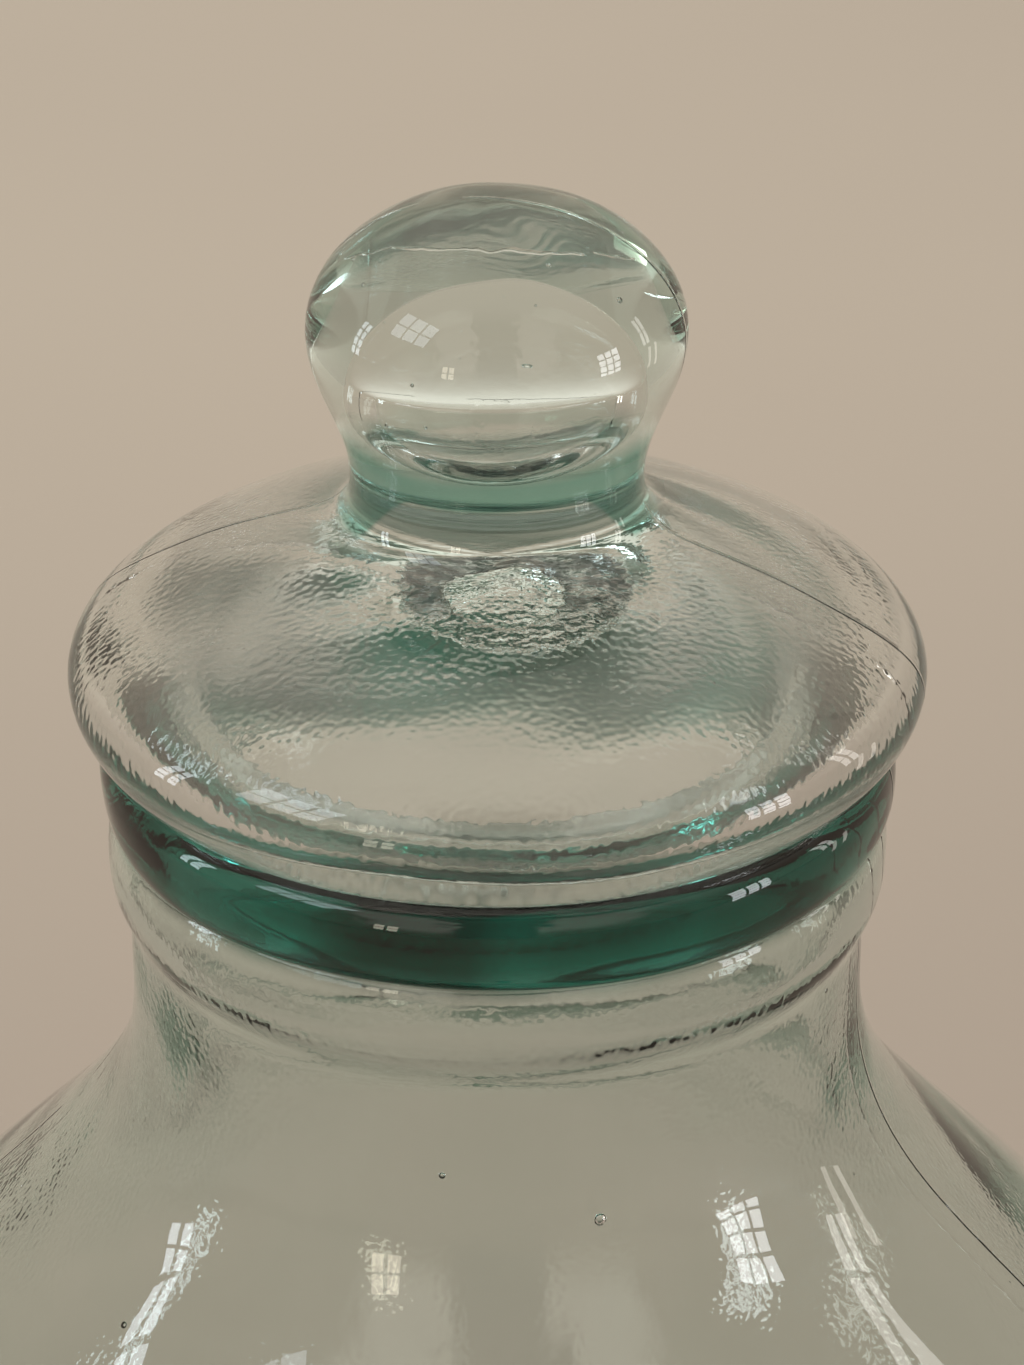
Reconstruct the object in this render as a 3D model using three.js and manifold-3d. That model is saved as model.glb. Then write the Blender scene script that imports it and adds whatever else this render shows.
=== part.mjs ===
// Glass beverage dispenser: a blown jar with a two-roll rim, a blown lid with a bulb knob, and a lever
// tap clamped through a moulded boss near the base.
// Millimetres, +Z up. The origin is the centre of the jar's flat base, and the tap faces -Y.
import * as THREE from "three";
import { mergeVertices } from "three/addons/utils/BufferGeometryUtils.js";
import Module from "manifold-3d";

const wasm = await Module();
wasm.setup();

// Fits shared by all pieces
const CONTACT = 0.2; // air left between two flat faces that rest on each other
const FIT = 0.3; // radial air between a piece and the hole it sits in
const FACET_ANGLE = THREE.MathUtils.degToRad(24); // most that a profile turns from one facet to the next
const GLASS_SEGMENTS = 48;
const TAP_SEGMENTS = 32;
const SMALL_SEGMENTS = 16;

// Jar
const JAR_HEIGHT = 310;
const BASE_RADIUS = 99; // flat standing face
const BASE_THICKNESS = 12;
const HEEL_RADIUS = 116;
const HEEL_HEIGHT = 20;
const BELLY_RADIUS = 125;
const BELLY_HEIGHT = 150;
const SHOULDER_RADIUS = 96; // where the shoulder turns from convex to hollow
const SHOULDER_HEIGHT = 205.5;
const SHOULDER_SLOPE = THREE.MathUtils.degToRad(46.6);
const JAR_WALL = 5;
const FLOOR_CORNER = 14; // inside rounding between floor and side

// Mouth of the jar: a straight neck, a thin-walled lower roll, and an upper roll of solid glass
const MOUTH_RADIUS = 50;
const NECK_SETBACK = 2; // how much wider the neck is inside than the mouth
const NECK_WALL = 5;
const NECK_LENGTH = 13.7; // straight part between the flare and the lower roll
const LOWER_ROLL_PROUD = 3.2; // how far each roll stands out from the neck
const LOWER_ROLL_HOLLOW = 2.8; // how far the inside follows the lower roll
const LOWER_ROLL_HEIGHT = 15.5;
const GROOVE_PROUD = 1.6;
const UPPER_ROLL_PROUD = 4;
const UPPER_ROLL_HEIGHT = 12.8;
const LIP_WIDTH = 4.8; // flat top of the rim, where the lid sits
const LIP_ROUNDING = 1.8;

// Lid, measured from its flat underside
const LID_RADIUS = 65;
const LID_EDGE_HEIGHT = 10.2; // height of the widest circle
const LID_UNDERCUT = 7; // from the widest circle in to the flat underside
const LID_WALL = 5.4;
const DOME_RADIUS = 47.8; // a station on the dome, outside the knob's flare
const DOME_HEIGHT = 25;
const DOME_SLOPE = THREE.MathUtils.degToRad(26.6);
const SKIRT_DEPTH = 16;
const SKIRT_WALL = 5.5;
const SKIRT_CLEARANCE = 1.7; // play of the skirt in the mouth
const LID_CEILING_HEIGHT = 25; // middle of the hollow under the dome
const KNOB_TOP_HEIGHT = 83.7;
const KNOB_RADIUS = 28;
const KNOB_RADIUS_HEIGHT = 63.7;
const KNOB_NECK_RADIUS = 21.8;
const KNOB_NECK_HEIGHT = 40.7;

// Tap hole and its boss
const TAP_HEIGHT = 50;
const TAP_HOLE_RADIUS = 9.6;
const BOSS_RADIUS = 17.5;
const BOSS_PROUD = 0.5; // how far the flat pads stand off the curved wall at their nearest point

// Tap body
const SHANK_RADIUS = 8.8;
const SHANK_BORE_RADIUS = 5;
const SHANK_PROUD = 3; // thread showing past the nut
const WASHER_RADIUS = 15;
const WASHER_THICKNESS = 3;
const FLANGE_RADIUS = 16.5;
const FLANGE_THICKNESS = 3.5;
const BARREL_RADIUS = 8.4;
const VALVE_REACH = 36; // from the flange's back to the valve's axis
const NUT_ACROSS_FLATS = 26;
const NUT_THICKNESS = 8;
const CHAMBER_RADIUS = 12.5;
const CHAMBER_BORE_RADIUS = 9.6;
const CHAMBER_LAND = 1.6; // bare chamber between the barrel and the bonnet
const SEAT_DEPTH = 8; // valve seat below the shank's axis
const CHAMBER_FOOT = 13; // where the chamber narrows to the spout, below the axis
const SPOUT_ROOT_RADIUS = 10;
const SPOUT_TIP_RADIUS = 8;
const SPOUT_DEPTH = 31;
const OUTLET_RADIUS = 5.5;

// Bonnet and valve
const GASKET_THICKNESS = 1.5;
const BONNET_RADIUS = 15.2;
const BONNET_OVERLAP = 8; // how far it screws down over the chamber
const BONNET_PLATE = 3.4;
const COLLAR_RADIUS = 8.2;
const COLLAR_RISE = 3;
const STEM_RADIUS = 2.1;
const STEM_FOOT_RADIUS = 4.2;
const STEM_FOOT_THICKNESS = 2;
const EYE_RADIUS = 3.8;
const CUP_RADIUS = 7.6;
const CUP_TOP_RADIUS = 6.6;
const CUP_HEIGHT = 10;
const CUP_FLOOR = 3.6;
const SPRING_RADIUS = 4.9;
const SPRING_WIRE = 1;
const SPRING_TURNS = 6;

// Lever
const LEVER_TRAVEL = THREE.MathUtils.degToRad(65);
const VALVE_LIFT = 4.5; // rise of the valve over the whole travel
const PIN_RISE = 6.2; // pin above the collar when the tap is shut
const PIN_RADIUS = 1.5;
const FORK_WIDTH = 12;
const HEEL_BACK = 5;
const ARM_WIDTH = 7;
const ARM_DEPTH = 8;
const ARM_TIP_DEPTH = 5.4;
const ARM_LENGTH = 34; // from the pin to the grip
const TANG_LENGTH = 13;
const GRIP_LENGTH = 24;
const GRIP_RADIUS = 7;
const GRIP_NECK_RADIUS = 4.9;

const GREEN_GLASS = new THREE.MeshStandardMaterial({ color: 0xa9cbbf, roughness: 0.05, metalness: 0 });
const STEEL = new THREE.MeshStandardMaterial({ color: 0xb9bbbd, roughness: 0.28, metalness: 1 });
const SPRING_STEEL = new THREE.MeshStandardMaterial({ color: 0x9a9c9e, roughness: 0.35, metalness: 1 });
const SILICONE = new THREE.MeshStandardMaterial({ color: 0xd9d6cd, roughness: 0.6, metalness: 0 });
const BLACK_PLASTIC = new THREE.MeshStandardMaterial({ color: 0x1d1d1e, roughness: 0.4, metalness: 0 });

// Closed geometry as a manifold-3d solid, and back.
function solid(geometry) {
  const bare = geometry.clone();
  bare.deleteAttribute("normal");
  bare.deleteAttribute("uv");
  const merged = mergeVertices(bare, 1e-4);
  return new wasm.Manifold(
    new wasm.Mesh({
      numProp: 3,
      vertProperties: merged.attributes.position.array,
      triVerts: new Uint32Array(merged.index.array),
    }),
  );
}

function geometryOf(manifold) {
  const mesh = manifold.getMesh();
  return new THREE.BufferGeometry()
    .setAttribute("position", new THREE.BufferAttribute(mesh.vertProperties, 3))
    .setIndex(new THREE.BufferAttribute(mesh.triVerts, 1));
}

// A named mesh of one piece, from a geometry or a manifold-3d solid.
function piece(name, shape, finish) {
  const geometry = shape.isBufferGeometry ? shape : geometryOf(shape);
  geometry.computeVertexNormals();
  const mesh = new THREE.Mesh(geometry, finish);
  mesh.name = name;
  return mesh;
}

// A profile in (radius, height), sampled so that no facet turns more than FACET_ANGLE.
function sample(path) {
  const first = path.curves[0].getPoint(0);
  return [first, ...path.curves.flatMap((curve) => curve.getPoints(facetsOf(curve)).slice(1))];
}

function facetsOf(curve) {
  if (curve.isLineCurve) return 1;
  const probes = 24;
  let turned = 0;
  let last = curve.getTangent(0).angle();
  for (let i = 1; i <= probes; i++) {
    const angle = curve.getTangent(i / probes).angle();
    const step = Math.abs(angle - last);
    turned += Math.min(step, 2 * Math.PI - step);
    last = angle;
  }
  return Math.max(1, Math.ceil(turned / FACET_ANGLE));
}

// Surface of revolution round +Z. The profile runs with the solid on its left.
function turned(path, segments) {
  return new THREE.LatheGeometry(sample(path), segments).rotateX(Math.PI / 2);
}

// Closed ring of rectangular section round +Z.
function ring(inner, outer, low, high, segments = TAP_SEGMENTS) {
  const path = new THREE.Path().moveTo(inner, low);
  path.lineTo(outer, low).lineTo(outer, high).lineTo(inner, high).lineTo(inner, low);
  return turned(path, segments);
}

// Plain rod round +Z.
function rod(radius, low, high, segments = TAP_SEGMENTS) {
  const path = new THREE.Path().moveTo(0, low);
  path.lineTo(radius, low).lineTo(radius, high).lineTo(0, high);
  return turned(path, segments);
}

// Turns a shape made round +Z so that its axis points out of the tap, along -Y.
const outward = (geometry) => geometry.rotateX(Math.PI / 2);

// Turns a shape made round +Z so that its axis lies along +X.
const crosswise = (geometry) => geometry.rotateY(Math.PI / 2);

// Heights of the mouth, which hang from the rim
const grooveHeight = JAR_HEIGHT - UPPER_ROLL_HEIGHT;
const neckTop = grooveHeight - LOWER_ROLL_HEIGHT;
const neckFoot = neckTop - NECK_LENGTH;
const neckInner = MOUTH_RADIUS + NECK_SETBACK;
const neckOuter = neckInner + NECK_WALL;

// Slope of the side where it leaves the heel, in radius per height
const heelLean = (0.6 * (BELLY_RADIUS - HEEL_RADIUS)) / (BELLY_HEIGHT - HEEL_HEIGHT);

// One face of the jar's wall from heel to neck, `inset` inside the outer face.
// Stations are heel, belly, shoulder and neck foot, joined by curves that share their tangents.
function wallCurve(path, inset, neckRadius) {
  const [cos, sin] = [Math.cos(SHOULDER_SLOPE), Math.sin(SHOULDER_SLOPE)];
  const belly = BELLY_RADIUS - inset;
  const heel = HEEL_RADIUS - inset;
  const shoulder = new THREE.Vector2(SHOULDER_RADIUS - inset * sin, SHOULDER_HEIGHT - inset * cos);
  const side = (BELLY_HEIGHT - HEEL_HEIGHT) / 3;
  const rise = (shoulder.y - BELLY_HEIGHT) * 0.4;
  const run = (belly - shoulder.x) * 0.7;
  const flare = (shoulder.x - neckRadius) * 0.77;
  const drop = (neckFoot - shoulder.y) * 0.42;
  path.bezierCurveTo(
    heel + side * heelLean, HEEL_HEIGHT + side,
    belly, BELLY_HEIGHT - side,
    belly, BELLY_HEIGHT,
  );
  path.bezierCurveTo(
    belly, BELLY_HEIGHT + rise,
    shoulder.x + run * cos, shoulder.y - run * sin,
    shoulder.x, shoulder.y,
  );
  path.bezierCurveTo(
    shoulder.x - flare * cos, shoulder.y + flare * sin,
    neckRadius, neckFoot - drop,
    neckRadius, neckFoot,
  );
}

// Radius of the jar's outer face between heel and belly, to find where the tap's boss meets it.
function outerRadiusAt(height) {
  const path = new THREE.Path().moveTo(HEEL_RADIUS, HEEL_HEIGHT);
  wallCurve(path, 0, neckOuter);
  const points = path.curves[0].getPoints(60);
  const above = Math.max(1, points.findIndex((point) => point.y >= height));
  const [a, b] = [points[above - 1], points[above]];
  return THREE.MathUtils.mapLinear(height, a.y, b.y, a.x, b.x);
}

// Flat pads of the boss, as distances from the jar's axis.
const bossOuter = outerRadiusAt(TAP_HEIGHT + BOSS_RADIUS) + BOSS_PROUD;
const bossInner =
  Math.sqrt((outerRadiusAt(TAP_HEIGHT - BOSS_RADIUS) - JAR_WALL) ** 2 - BOSS_RADIUS ** 2) - BOSS_PROUD;
const bossThickness = bossOuter - bossInner;

function jarProfile() {
  const lowerRoll = neckOuter + LOWER_ROLL_PROUD;
  const lowerHollow = neckInner + LOWER_ROLL_HOLLOW;
  const lowerMiddle = neckTop + LOWER_ROLL_HEIGHT / 2;
  const groove = neckOuter + GROOVE_PROUD;
  const upperRoll = neckOuter + UPPER_ROLL_PROUD;
  const lipInner = MOUTH_RADIUS + LIP_ROUNDING;
  const cornerTop = BASE_THICKNESS + FLOOR_CORNER;
  const innerHeel = HEEL_RADIUS - JAR_WALL + heelLean * (cornerTop - HEEL_HEIGHT);
  const outside = new THREE.Path().moveTo(0, 0);
  outside.lineTo(BASE_RADIUS, 0);
  outside.quadraticCurveTo(HEEL_RADIUS - heelLean * HEEL_HEIGHT, 0, HEEL_RADIUS, HEEL_HEIGHT);
  wallCurve(outside, 0, neckOuter);
  outside.lineTo(neckOuter, neckTop);
  outside.quadraticCurveTo(lowerRoll, neckTop, lowerRoll, lowerMiddle);
  outside.quadraticCurveTo(lowerRoll, grooveHeight, groove, grooveHeight);
  outside.quadraticCurveTo(upperRoll, grooveHeight, upperRoll, grooveHeight + UPPER_ROLL_HEIGHT / 2);
  outside.quadraticCurveTo(upperRoll, JAR_HEIGHT, lipInner + LIP_WIDTH, JAR_HEIGHT);
  outside.lineTo(lipInner, JAR_HEIGHT);
  outside.quadraticCurveTo(MOUTH_RADIUS, JAR_HEIGHT, MOUTH_RADIUS, JAR_HEIGHT - LIP_ROUNDING);
  const inside = new THREE.Path().moveTo(0, BASE_THICKNESS);
  inside.lineTo(innerHeel - FLOOR_CORNER, BASE_THICKNESS);
  inside.quadraticCurveTo(innerHeel, BASE_THICKNESS, innerHeel, cornerTop);
  wallCurve(inside, JAR_WALL, neckInner);
  inside.lineTo(neckInner, neckTop);
  inside.quadraticCurveTo(lowerHollow, neckTop, lowerHollow, lowerMiddle);
  inside.quadraticCurveTo(lowerHollow, grooveHeight, MOUTH_RADIUS, grooveHeight);
  return [...sample(outside), ...sample(inside).reverse()];
}

function jar() {
  const shell = new THREE.LatheGeometry(jarProfile(), GLASS_SEGMENTS).rotateX(Math.PI / 2);
  const boss = outward(rod(BOSS_RADIUS, bossInner, bossOuter)).translate(0, 0, TAP_HEIGHT);
  const hole = outward(rod(TAP_HOLE_RADIUS, bossInner - 1, bossOuter + 1)).translate(0, 0, TAP_HEIGHT);
  return piece("jar", solid(shell).add(solid(boss)).subtract(solid(hole)), GREEN_GLASS);
}

function lidProfile() {
  const skirtOuter = MOUTH_RADIUS - SKIRT_CLEARANCE;
  const skirtInner = skirtOuter - SKIRT_WALL;
  const skirtRound = SKIRT_WALL / 2;
  const [cos, sin] = [Math.cos(DOME_SLOPE), Math.sin(DOME_SLOPE)];
  const innerEdge = LID_RADIUS - LID_WALL;
  const flare = (DOME_RADIUS - KNOB_NECK_RADIUS) * 0.68;
  const reach = (LID_RADIUS - DOME_RADIUS) * 0.58;
  const corner = LID_WALL * 0.8;
  const seat = LID_RADIUS - LID_UNDERCUT;

  // From the skirt's tip up the outside to the top of the knob
  const path = new THREE.Path().moveTo(skirtInner, -SKIRT_DEPTH + skirtRound);
  path.quadraticCurveTo(skirtInner, -SKIRT_DEPTH, skirtInner + skirtRound, -SKIRT_DEPTH);
  path.quadraticCurveTo(skirtOuter, -SKIRT_DEPTH, skirtOuter, -SKIRT_DEPTH + skirtRound);
  path.lineTo(skirtOuter, -1);
  path.quadraticCurveTo(skirtOuter, 0, skirtOuter + 1, 0);
  path.lineTo(seat, 0);
  path.bezierCurveTo(
    seat + LID_UNDERCUT * 0.5, LID_EDGE_HEIGHT * 0.15,
    LID_RADIUS, LID_EDGE_HEIGHT * 0.58,
    LID_RADIUS, LID_EDGE_HEIGHT,
  );
  path.bezierCurveTo(
    LID_RADIUS, LID_EDGE_HEIGHT + (DOME_HEIGHT - LID_EDGE_HEIGHT) * 0.44,
    DOME_RADIUS + reach * cos, DOME_HEIGHT - reach * sin,
    DOME_RADIUS, DOME_HEIGHT,
  );
  path.bezierCurveTo(
    DOME_RADIUS - flare * cos, DOME_HEIGHT + flare * sin,
    KNOB_NECK_RADIUS, KNOB_NECK_HEIGHT * 0.77,
    KNOB_NECK_RADIUS, KNOB_NECK_HEIGHT,
  );
  path.bezierCurveTo(
    KNOB_NECK_RADIUS, KNOB_NECK_HEIGHT + 9,
    KNOB_RADIUS, KNOB_RADIUS_HEIGHT - 8,
    KNOB_RADIUS, KNOB_RADIUS_HEIGHT,
  );
  quarterOval(path, KNOB_RADIUS, KNOB_RADIUS_HEIGHT, KNOB_TOP_HEIGHT);

  // From the middle of the ceiling down the inside to the skirt's tip, drawn upwards
  const inside = new THREE.Path().moveTo(skirtInner, -SKIRT_DEPTH + skirtRound);
  inside.lineTo(skirtInner, LID_WALL - corner);
  inside.quadraticCurveTo(skirtInner, LID_WALL, skirtInner + corner, LID_WALL);
  inside.lineTo(innerEdge - LID_EDGE_HEIGHT * 0.6, LID_WALL);
  inside.quadraticCurveTo(innerEdge, LID_WALL, innerEdge, LID_EDGE_HEIGHT);
  quarterOval(inside, innerEdge, LID_EDGE_HEIGHT, LID_CEILING_HEIGHT);
  return [...sample(path), ...sample(inside).slice(1).reverse(), sample(path)[0]];
}

// A quarter of an oval from its widest circle to its top on the axis.
function quarterOval(path, radius, height, top) {
  const round = 0.5523; // handle length of a cubic that follows a quarter circle
  path.bezierCurveTo(
    radius, height + (top - height) * round,
    radius * round, top,
    0, top,
  );
}

function lid() {
  const shell = new THREE.LatheGeometry(lidProfile(), GLASS_SEGMENTS).rotateX(Math.PI / 2);
  const mesh = piece("lid", shell, GREEN_GLASS);
  mesh.position.z = JAR_HEIGHT + CONTACT;
  return mesh;
}

// Places along the tap's axis, measured outwards from the boss's outer pad
const flangeBack = WASHER_THICKNESS + 2 * CONTACT;
const valveAxis = flangeBack + VALVE_REACH;
const nutFace = bossThickness + WASHER_THICKNESS + 2 * CONTACT;
const shankEnd = nutFace + NUT_THICKNESS + SHANK_PROUD;

// Heights in the valve, measured from the shank's axis
const bonnetFoot = BARREL_RADIUS + CHAMBER_LAND;
const chamberTop = bonnetFoot + BONNET_OVERLAP;
const plateUnder = chamberTop + GASKET_THICKNESS + 2 * CONTACT;
const collarTop = plateUnder + BONNET_PLATE + COLLAR_RISE;
const pinHeight = collarTop + PIN_RISE;
const cupFoot = -SEAT_DEPTH + CONTACT;
const cupTop = cupFoot + CUP_HEIGHT;

function tapBody() {
  const axial = new THREE.Path().moveTo(0, -shankEnd);
  axial.lineTo(SHANK_RADIUS - 0.8, -shankEnd).lineTo(SHANK_RADIUS, -shankEnd + 0.8);
  axial.lineTo(SHANK_RADIUS, flangeBack).lineTo(FLANGE_RADIUS, flangeBack);
  axial.lineTo(FLANGE_RADIUS, flangeBack + FLANGE_THICKNESS * 0.5);
  axial.quadraticCurveTo(
    FLANGE_RADIUS, flangeBack + FLANGE_THICKNESS,
    FLANGE_RADIUS - FLANGE_THICKNESS, flangeBack + FLANGE_THICKNESS,
  );
  axial.lineTo(BARREL_RADIUS, flangeBack + FLANGE_THICKNESS + 1.5);
  axial.lineTo(BARREL_RADIUS, valveAxis).lineTo(0, valveAxis);

  const upright = new THREE.Path().moveTo(0, -SPOUT_DEPTH);
  upright.lineTo(SPOUT_TIP_RADIUS, -SPOUT_DEPTH).lineTo(SPOUT_ROOT_RADIUS, -CHAMBER_FOOT - 3);
  upright.quadraticCurveTo(SPOUT_ROOT_RADIUS, -CHAMBER_FOOT, CHAMBER_RADIUS, -CHAMBER_FOOT + 3);
  upright.lineTo(CHAMBER_RADIUS, chamberTop).lineTo(0, chamberTop);

  const bore = new THREE.Path().moveTo(0, -SPOUT_DEPTH - 1);
  bore.lineTo(OUTLET_RADIUS, -SPOUT_DEPTH - 1).lineTo(OUTLET_RADIUS, -SEAT_DEPTH);
  bore.lineTo(CHAMBER_BORE_RADIUS, -SEAT_DEPTH).lineTo(CHAMBER_BORE_RADIUS, chamberTop + 1);
  bore.lineTo(0, chamberTop + 1);

  const atValve = (path) => solid(turned(path, TAP_SEGMENTS).translate(0, -valveAxis, 0));
  const inlet = solid(outward(rod(SHANK_BORE_RADIUS, -shankEnd - 1, valveAxis)));
  const cast = solid(outward(turned(axial, TAP_SEGMENTS))).add(atValve(upright));
  return piece("tap_body", cast.subtract(inlet).subtract(atValve(bore)), STEEL);
}

function washers() {
  const inner = -bossThickness - CONTACT;
  const washer = (low) => ring(SHANK_RADIUS + FIT, WASHER_RADIUS, low, low + WASHER_THICKNESS);
  return [
    piece("tap_outer_washer", outward(washer(CONTACT)), SILICONE),
    piece("tap_inner_washer", outward(washer(inner - WASHER_THICKNESS)), SILICONE),
  ];
}

function lockNut() {
  const corner = NUT_ACROSS_FLATS / Math.sqrt(3);
  const hex = solid(rod(corner, -nutFace - NUT_THICKNESS, -nutFace, 6));
  const bore = solid(rod(SHANK_RADIUS + FIT, -nutFace - NUT_THICKNESS - 1, -nutFace + 1));
  return piece("tap_lock_nut", outward(geometryOf(hex.subtract(bore))), STEEL);
}

function bonnet() {
  const plateTop = plateUnder + BONNET_PLATE;
  const chamfer = 1.4;
  const path = new THREE.Path().moveTo(CHAMBER_RADIUS + FIT, bonnetFoot);
  path.lineTo(BONNET_RADIUS, bonnetFoot);
  path.lineTo(BONNET_RADIUS, plateTop - chamfer).lineTo(BONNET_RADIUS - chamfer, plateTop);
  path.lineTo(COLLAR_RADIUS, plateTop).lineTo(COLLAR_RADIUS, collarTop);
  path.lineTo(STEM_RADIUS + FIT, collarTop).lineTo(STEM_RADIUS + FIT, plateUnder);
  path.lineTo(CHAMBER_RADIUS + FIT, plateUnder);
  path.lineTo(CHAMBER_RADIUS + FIT, bonnetFoot);
  return piece("tap_bonnet", turned(path, TAP_SEGMENTS), STEEL);
}

function gasket() {
  const low = chamberTop + CONTACT;
  const seal = ring(CHAMBER_BORE_RADIUS, CHAMBER_RADIUS, low, low + GASKET_THICKNESS);
  return piece("bonnet_gasket", seal, SILICONE);
}

// Silicone plug that shuts the outlet, moulded round the stem's foot.
function seatCup() {
  const pocket = cupFoot + CUP_FLOOR;
  const pocketTop = pocket + STEM_FOOT_THICKNESS + 2 * CONTACT;
  const path = new THREE.Path().moveTo(0, cupFoot);
  path.lineTo(CUP_RADIUS, cupFoot).lineTo(CUP_RADIUS, pocket);
  path.lineTo(CUP_TOP_RADIUS, cupTop).lineTo(STEM_RADIUS + FIT, cupTop);
  path.lineTo(STEM_RADIUS + FIT, pocketTop).lineTo(STEM_FOOT_RADIUS + FIT, pocketTop);
  path.lineTo(STEM_FOOT_RADIUS + FIT, pocket).lineTo(0, pocket);
  return piece("seat_cup", turned(path, TAP_SEGMENTS), SILICONE);
}

function valveStem() {
  const foot = cupFoot + CUP_FLOOR + CONTACT;
  const path = new THREE.Path().moveTo(0, foot);
  path.lineTo(STEM_FOOT_RADIUS, foot).lineTo(STEM_FOOT_RADIUS, foot + STEM_FOOT_THICKNESS);
  path.lineTo(STEM_RADIUS, foot + STEM_FOOT_THICKNESS).lineTo(STEM_RADIUS, pinHeight).lineTo(0, pinHeight);
  const atPin = (radius, reach) =>
    solid(crosswise(rod(radius, -reach, reach, SMALL_SEGMENTS)).translate(0, 0, pinHeight));
  const rodAndEye = solid(turned(path, SMALL_SEGMENTS)).add(atPin(EYE_RADIUS, STEM_RADIUS));
  return piece("valve_stem", rodAndEye.subtract(atPin(PIN_RADIUS + CONTACT, FORK_WIDTH)), STEEL);
}

class Helix extends THREE.Curve {
  constructor(radius, low, high, turns) {
    super();
    Object.assign(this, { radius, low, high, turns });
  }
  getPoint(t, target = new THREE.Vector3()) {
    const angle = 2 * Math.PI * this.turns * t;
    const height = THREE.MathUtils.lerp(this.low, this.high, t);
    return target.set(this.radius * Math.cos(angle), this.radius * Math.sin(angle), height);
  }
}

// Least air between neighbouring coils, measured on points along the wire.
function leastGap(curve, turns, wire) {
  const perTurn = 24;
  const points = curve.getPoints(perTurn * turns);
  let least = Infinity;
  points.forEach((point, i) => {
    const others = points.slice(i + perTurn / 2);
    least = others.reduce((found, other) => Math.min(found, point.distanceTo(other)), least);
  });
  return least - wire;
}

function returnSpring() {
  const stepsPerTurn = 8;
  const sides = 5;
  const margin = CONTACT + SPRING_WIRE / 2;
  const curve = new Helix(SPRING_RADIUS, cupTop + margin, plateUnder - margin, SPRING_TURNS);
  const section = new THREE.Shape();
  for (let i = 0; i < sides; i++) {
    const angle = (2 * Math.PI * i) / sides;
    const corner = [(SPRING_WIRE / 2) * Math.cos(angle), (SPRING_WIRE / 2) * Math.sin(angle)];
    if (i === 0) section.moveTo(...corner);
    else section.lineTo(...corner);
  }
  section.closePath();
  const gap = leastGap(curve, SPRING_TURNS, SPRING_WIRE);
  console.log(`return spring: least gap between coils ${gap.toFixed(2)} mm`);
  const wire = new THREE.ExtrudeGeometry(section, { steps: stepsPerTurn * SPRING_TURNS, extrudePath: curve });
  return piece("return_spring", wire, SPRING_STEEL);
}

// Slab of a side view drawn in (y, z), centred on x = 0.
function slab(shape, width) {
  const sideways = new THREE.Matrix4().makeBasis(
    new THREE.Vector3(0, 1, 0), new THREE.Vector3(0, 0, 1), new THREE.Vector3(1, 0, 0),
  );
  const flat = new THREE.ExtrudeGeometry(shape, { depth: width, bevelEnabled: false, steps: 1 });
  return solid(flat.translate(0, 0, -width / 2).applyMatrix4(sideways));
}

// Lever, with the pin at its origin. Its heel is a cam: flat when shut, and its reach from the pin grows
// evenly with the angle, so that tilting the lever forward draws the stem up by VALVE_LIFT.
function leverBlank() {
  const reach = PIN_RISE - CONTACT;
  const growth = VALVE_LIFT / LEVER_TRAVEL;
  const camSteps = 6;
  const shape = new THREE.Shape().moveTo(HEEL_BACK, -reach);
  for (let i = 0; i <= camSteps; i++) {
    const angle = (LEVER_TRAVEL * i) / camSteps;
    const along = reach + growth * angle;
    const [sin, cos] = [Math.sin(angle), Math.cos(angle)];
    shape.lineTo(-along * sin - growth * cos, -along * cos + growth * sin);
  }
  shape.quadraticCurveTo(-ARM_DEPTH, EYE_RADIUS, -ARM_DEPTH / 2, 2 * EYE_RADIUS);
  shape.lineTo(ARM_DEPTH / 2, 2 * EYE_RADIUS);
  shape.quadraticCurveTo(HEEL_BACK, EYE_RADIUS, HEEL_BACK, -reach);
  return shape;
}

function armBlank() {
  const tip = ARM_TIP_DEPTH / 2;
  const shape = new THREE.Shape().moveTo(-ARM_DEPTH / 2, EYE_RADIUS + 1.5);
  shape.lineTo(ARM_DEPTH / 2, EYE_RADIUS + 1.5).lineTo(tip, ARM_LENGTH).lineTo(tip, ARM_LENGTH + TANG_LENGTH);
  shape.lineTo(-tip, ARM_LENGTH + TANG_LENGTH).lineTo(-tip, ARM_LENGTH);
  shape.closePath();
  return shape;
}

function lever() {
  const slotWidth = 2 * (STEM_RADIUS + FIT);
  const slotTop = EYE_RADIUS + FIT;
  const slotHeight = slotTop + 3 * PIN_RISE;
  const slot = solid(
    new THREE.BoxGeometry(slotWidth, 8 * EYE_RADIUS, slotHeight).translate(0, 0, slotTop - slotHeight / 2),
  );
  const pinHole = solid(crosswise(rod(PIN_RADIUS + CONTACT, -FORK_WIDTH, FORK_WIDTH, SMALL_SEGMENTS)));
  const blank = slab(leverBlank(), FORK_WIDTH).add(slab(armBlank(), ARM_WIDTH));
  return piece("tap_lever", blank.subtract(slot).subtract(pinHole), STEEL);
}

function leverGrip() {
  const foot = ARM_LENGTH;
  const belly = foot + GRIP_LENGTH * 0.62;
  const path = new THREE.Path().moveTo(0, foot);
  path.lineTo(GRIP_NECK_RADIUS - 0.8, foot).lineTo(GRIP_NECK_RADIUS, foot + 0.8);
  path.bezierCurveTo(GRIP_NECK_RADIUS, foot + 6, GRIP_RADIUS, belly - 6, GRIP_RADIUS, belly);
  quarterOval(path, GRIP_RADIUS, belly, foot + GRIP_LENGTH);
  const height = TANG_LENGTH + 2 * FIT;
  const socket = new THREE.BoxGeometry(ARM_WIDTH + 2 * FIT, ARM_TIP_DEPTH + 2 * FIT, height);
  const knob = solid(turned(path, TAP_SEGMENTS));
  const hollowed = knob.subtract(solid(socket.translate(0, 0, foot + height / 2 - FIT)));
  return piece("lever_grip", hollowed, BLACK_PLASTIC);
}

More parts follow.
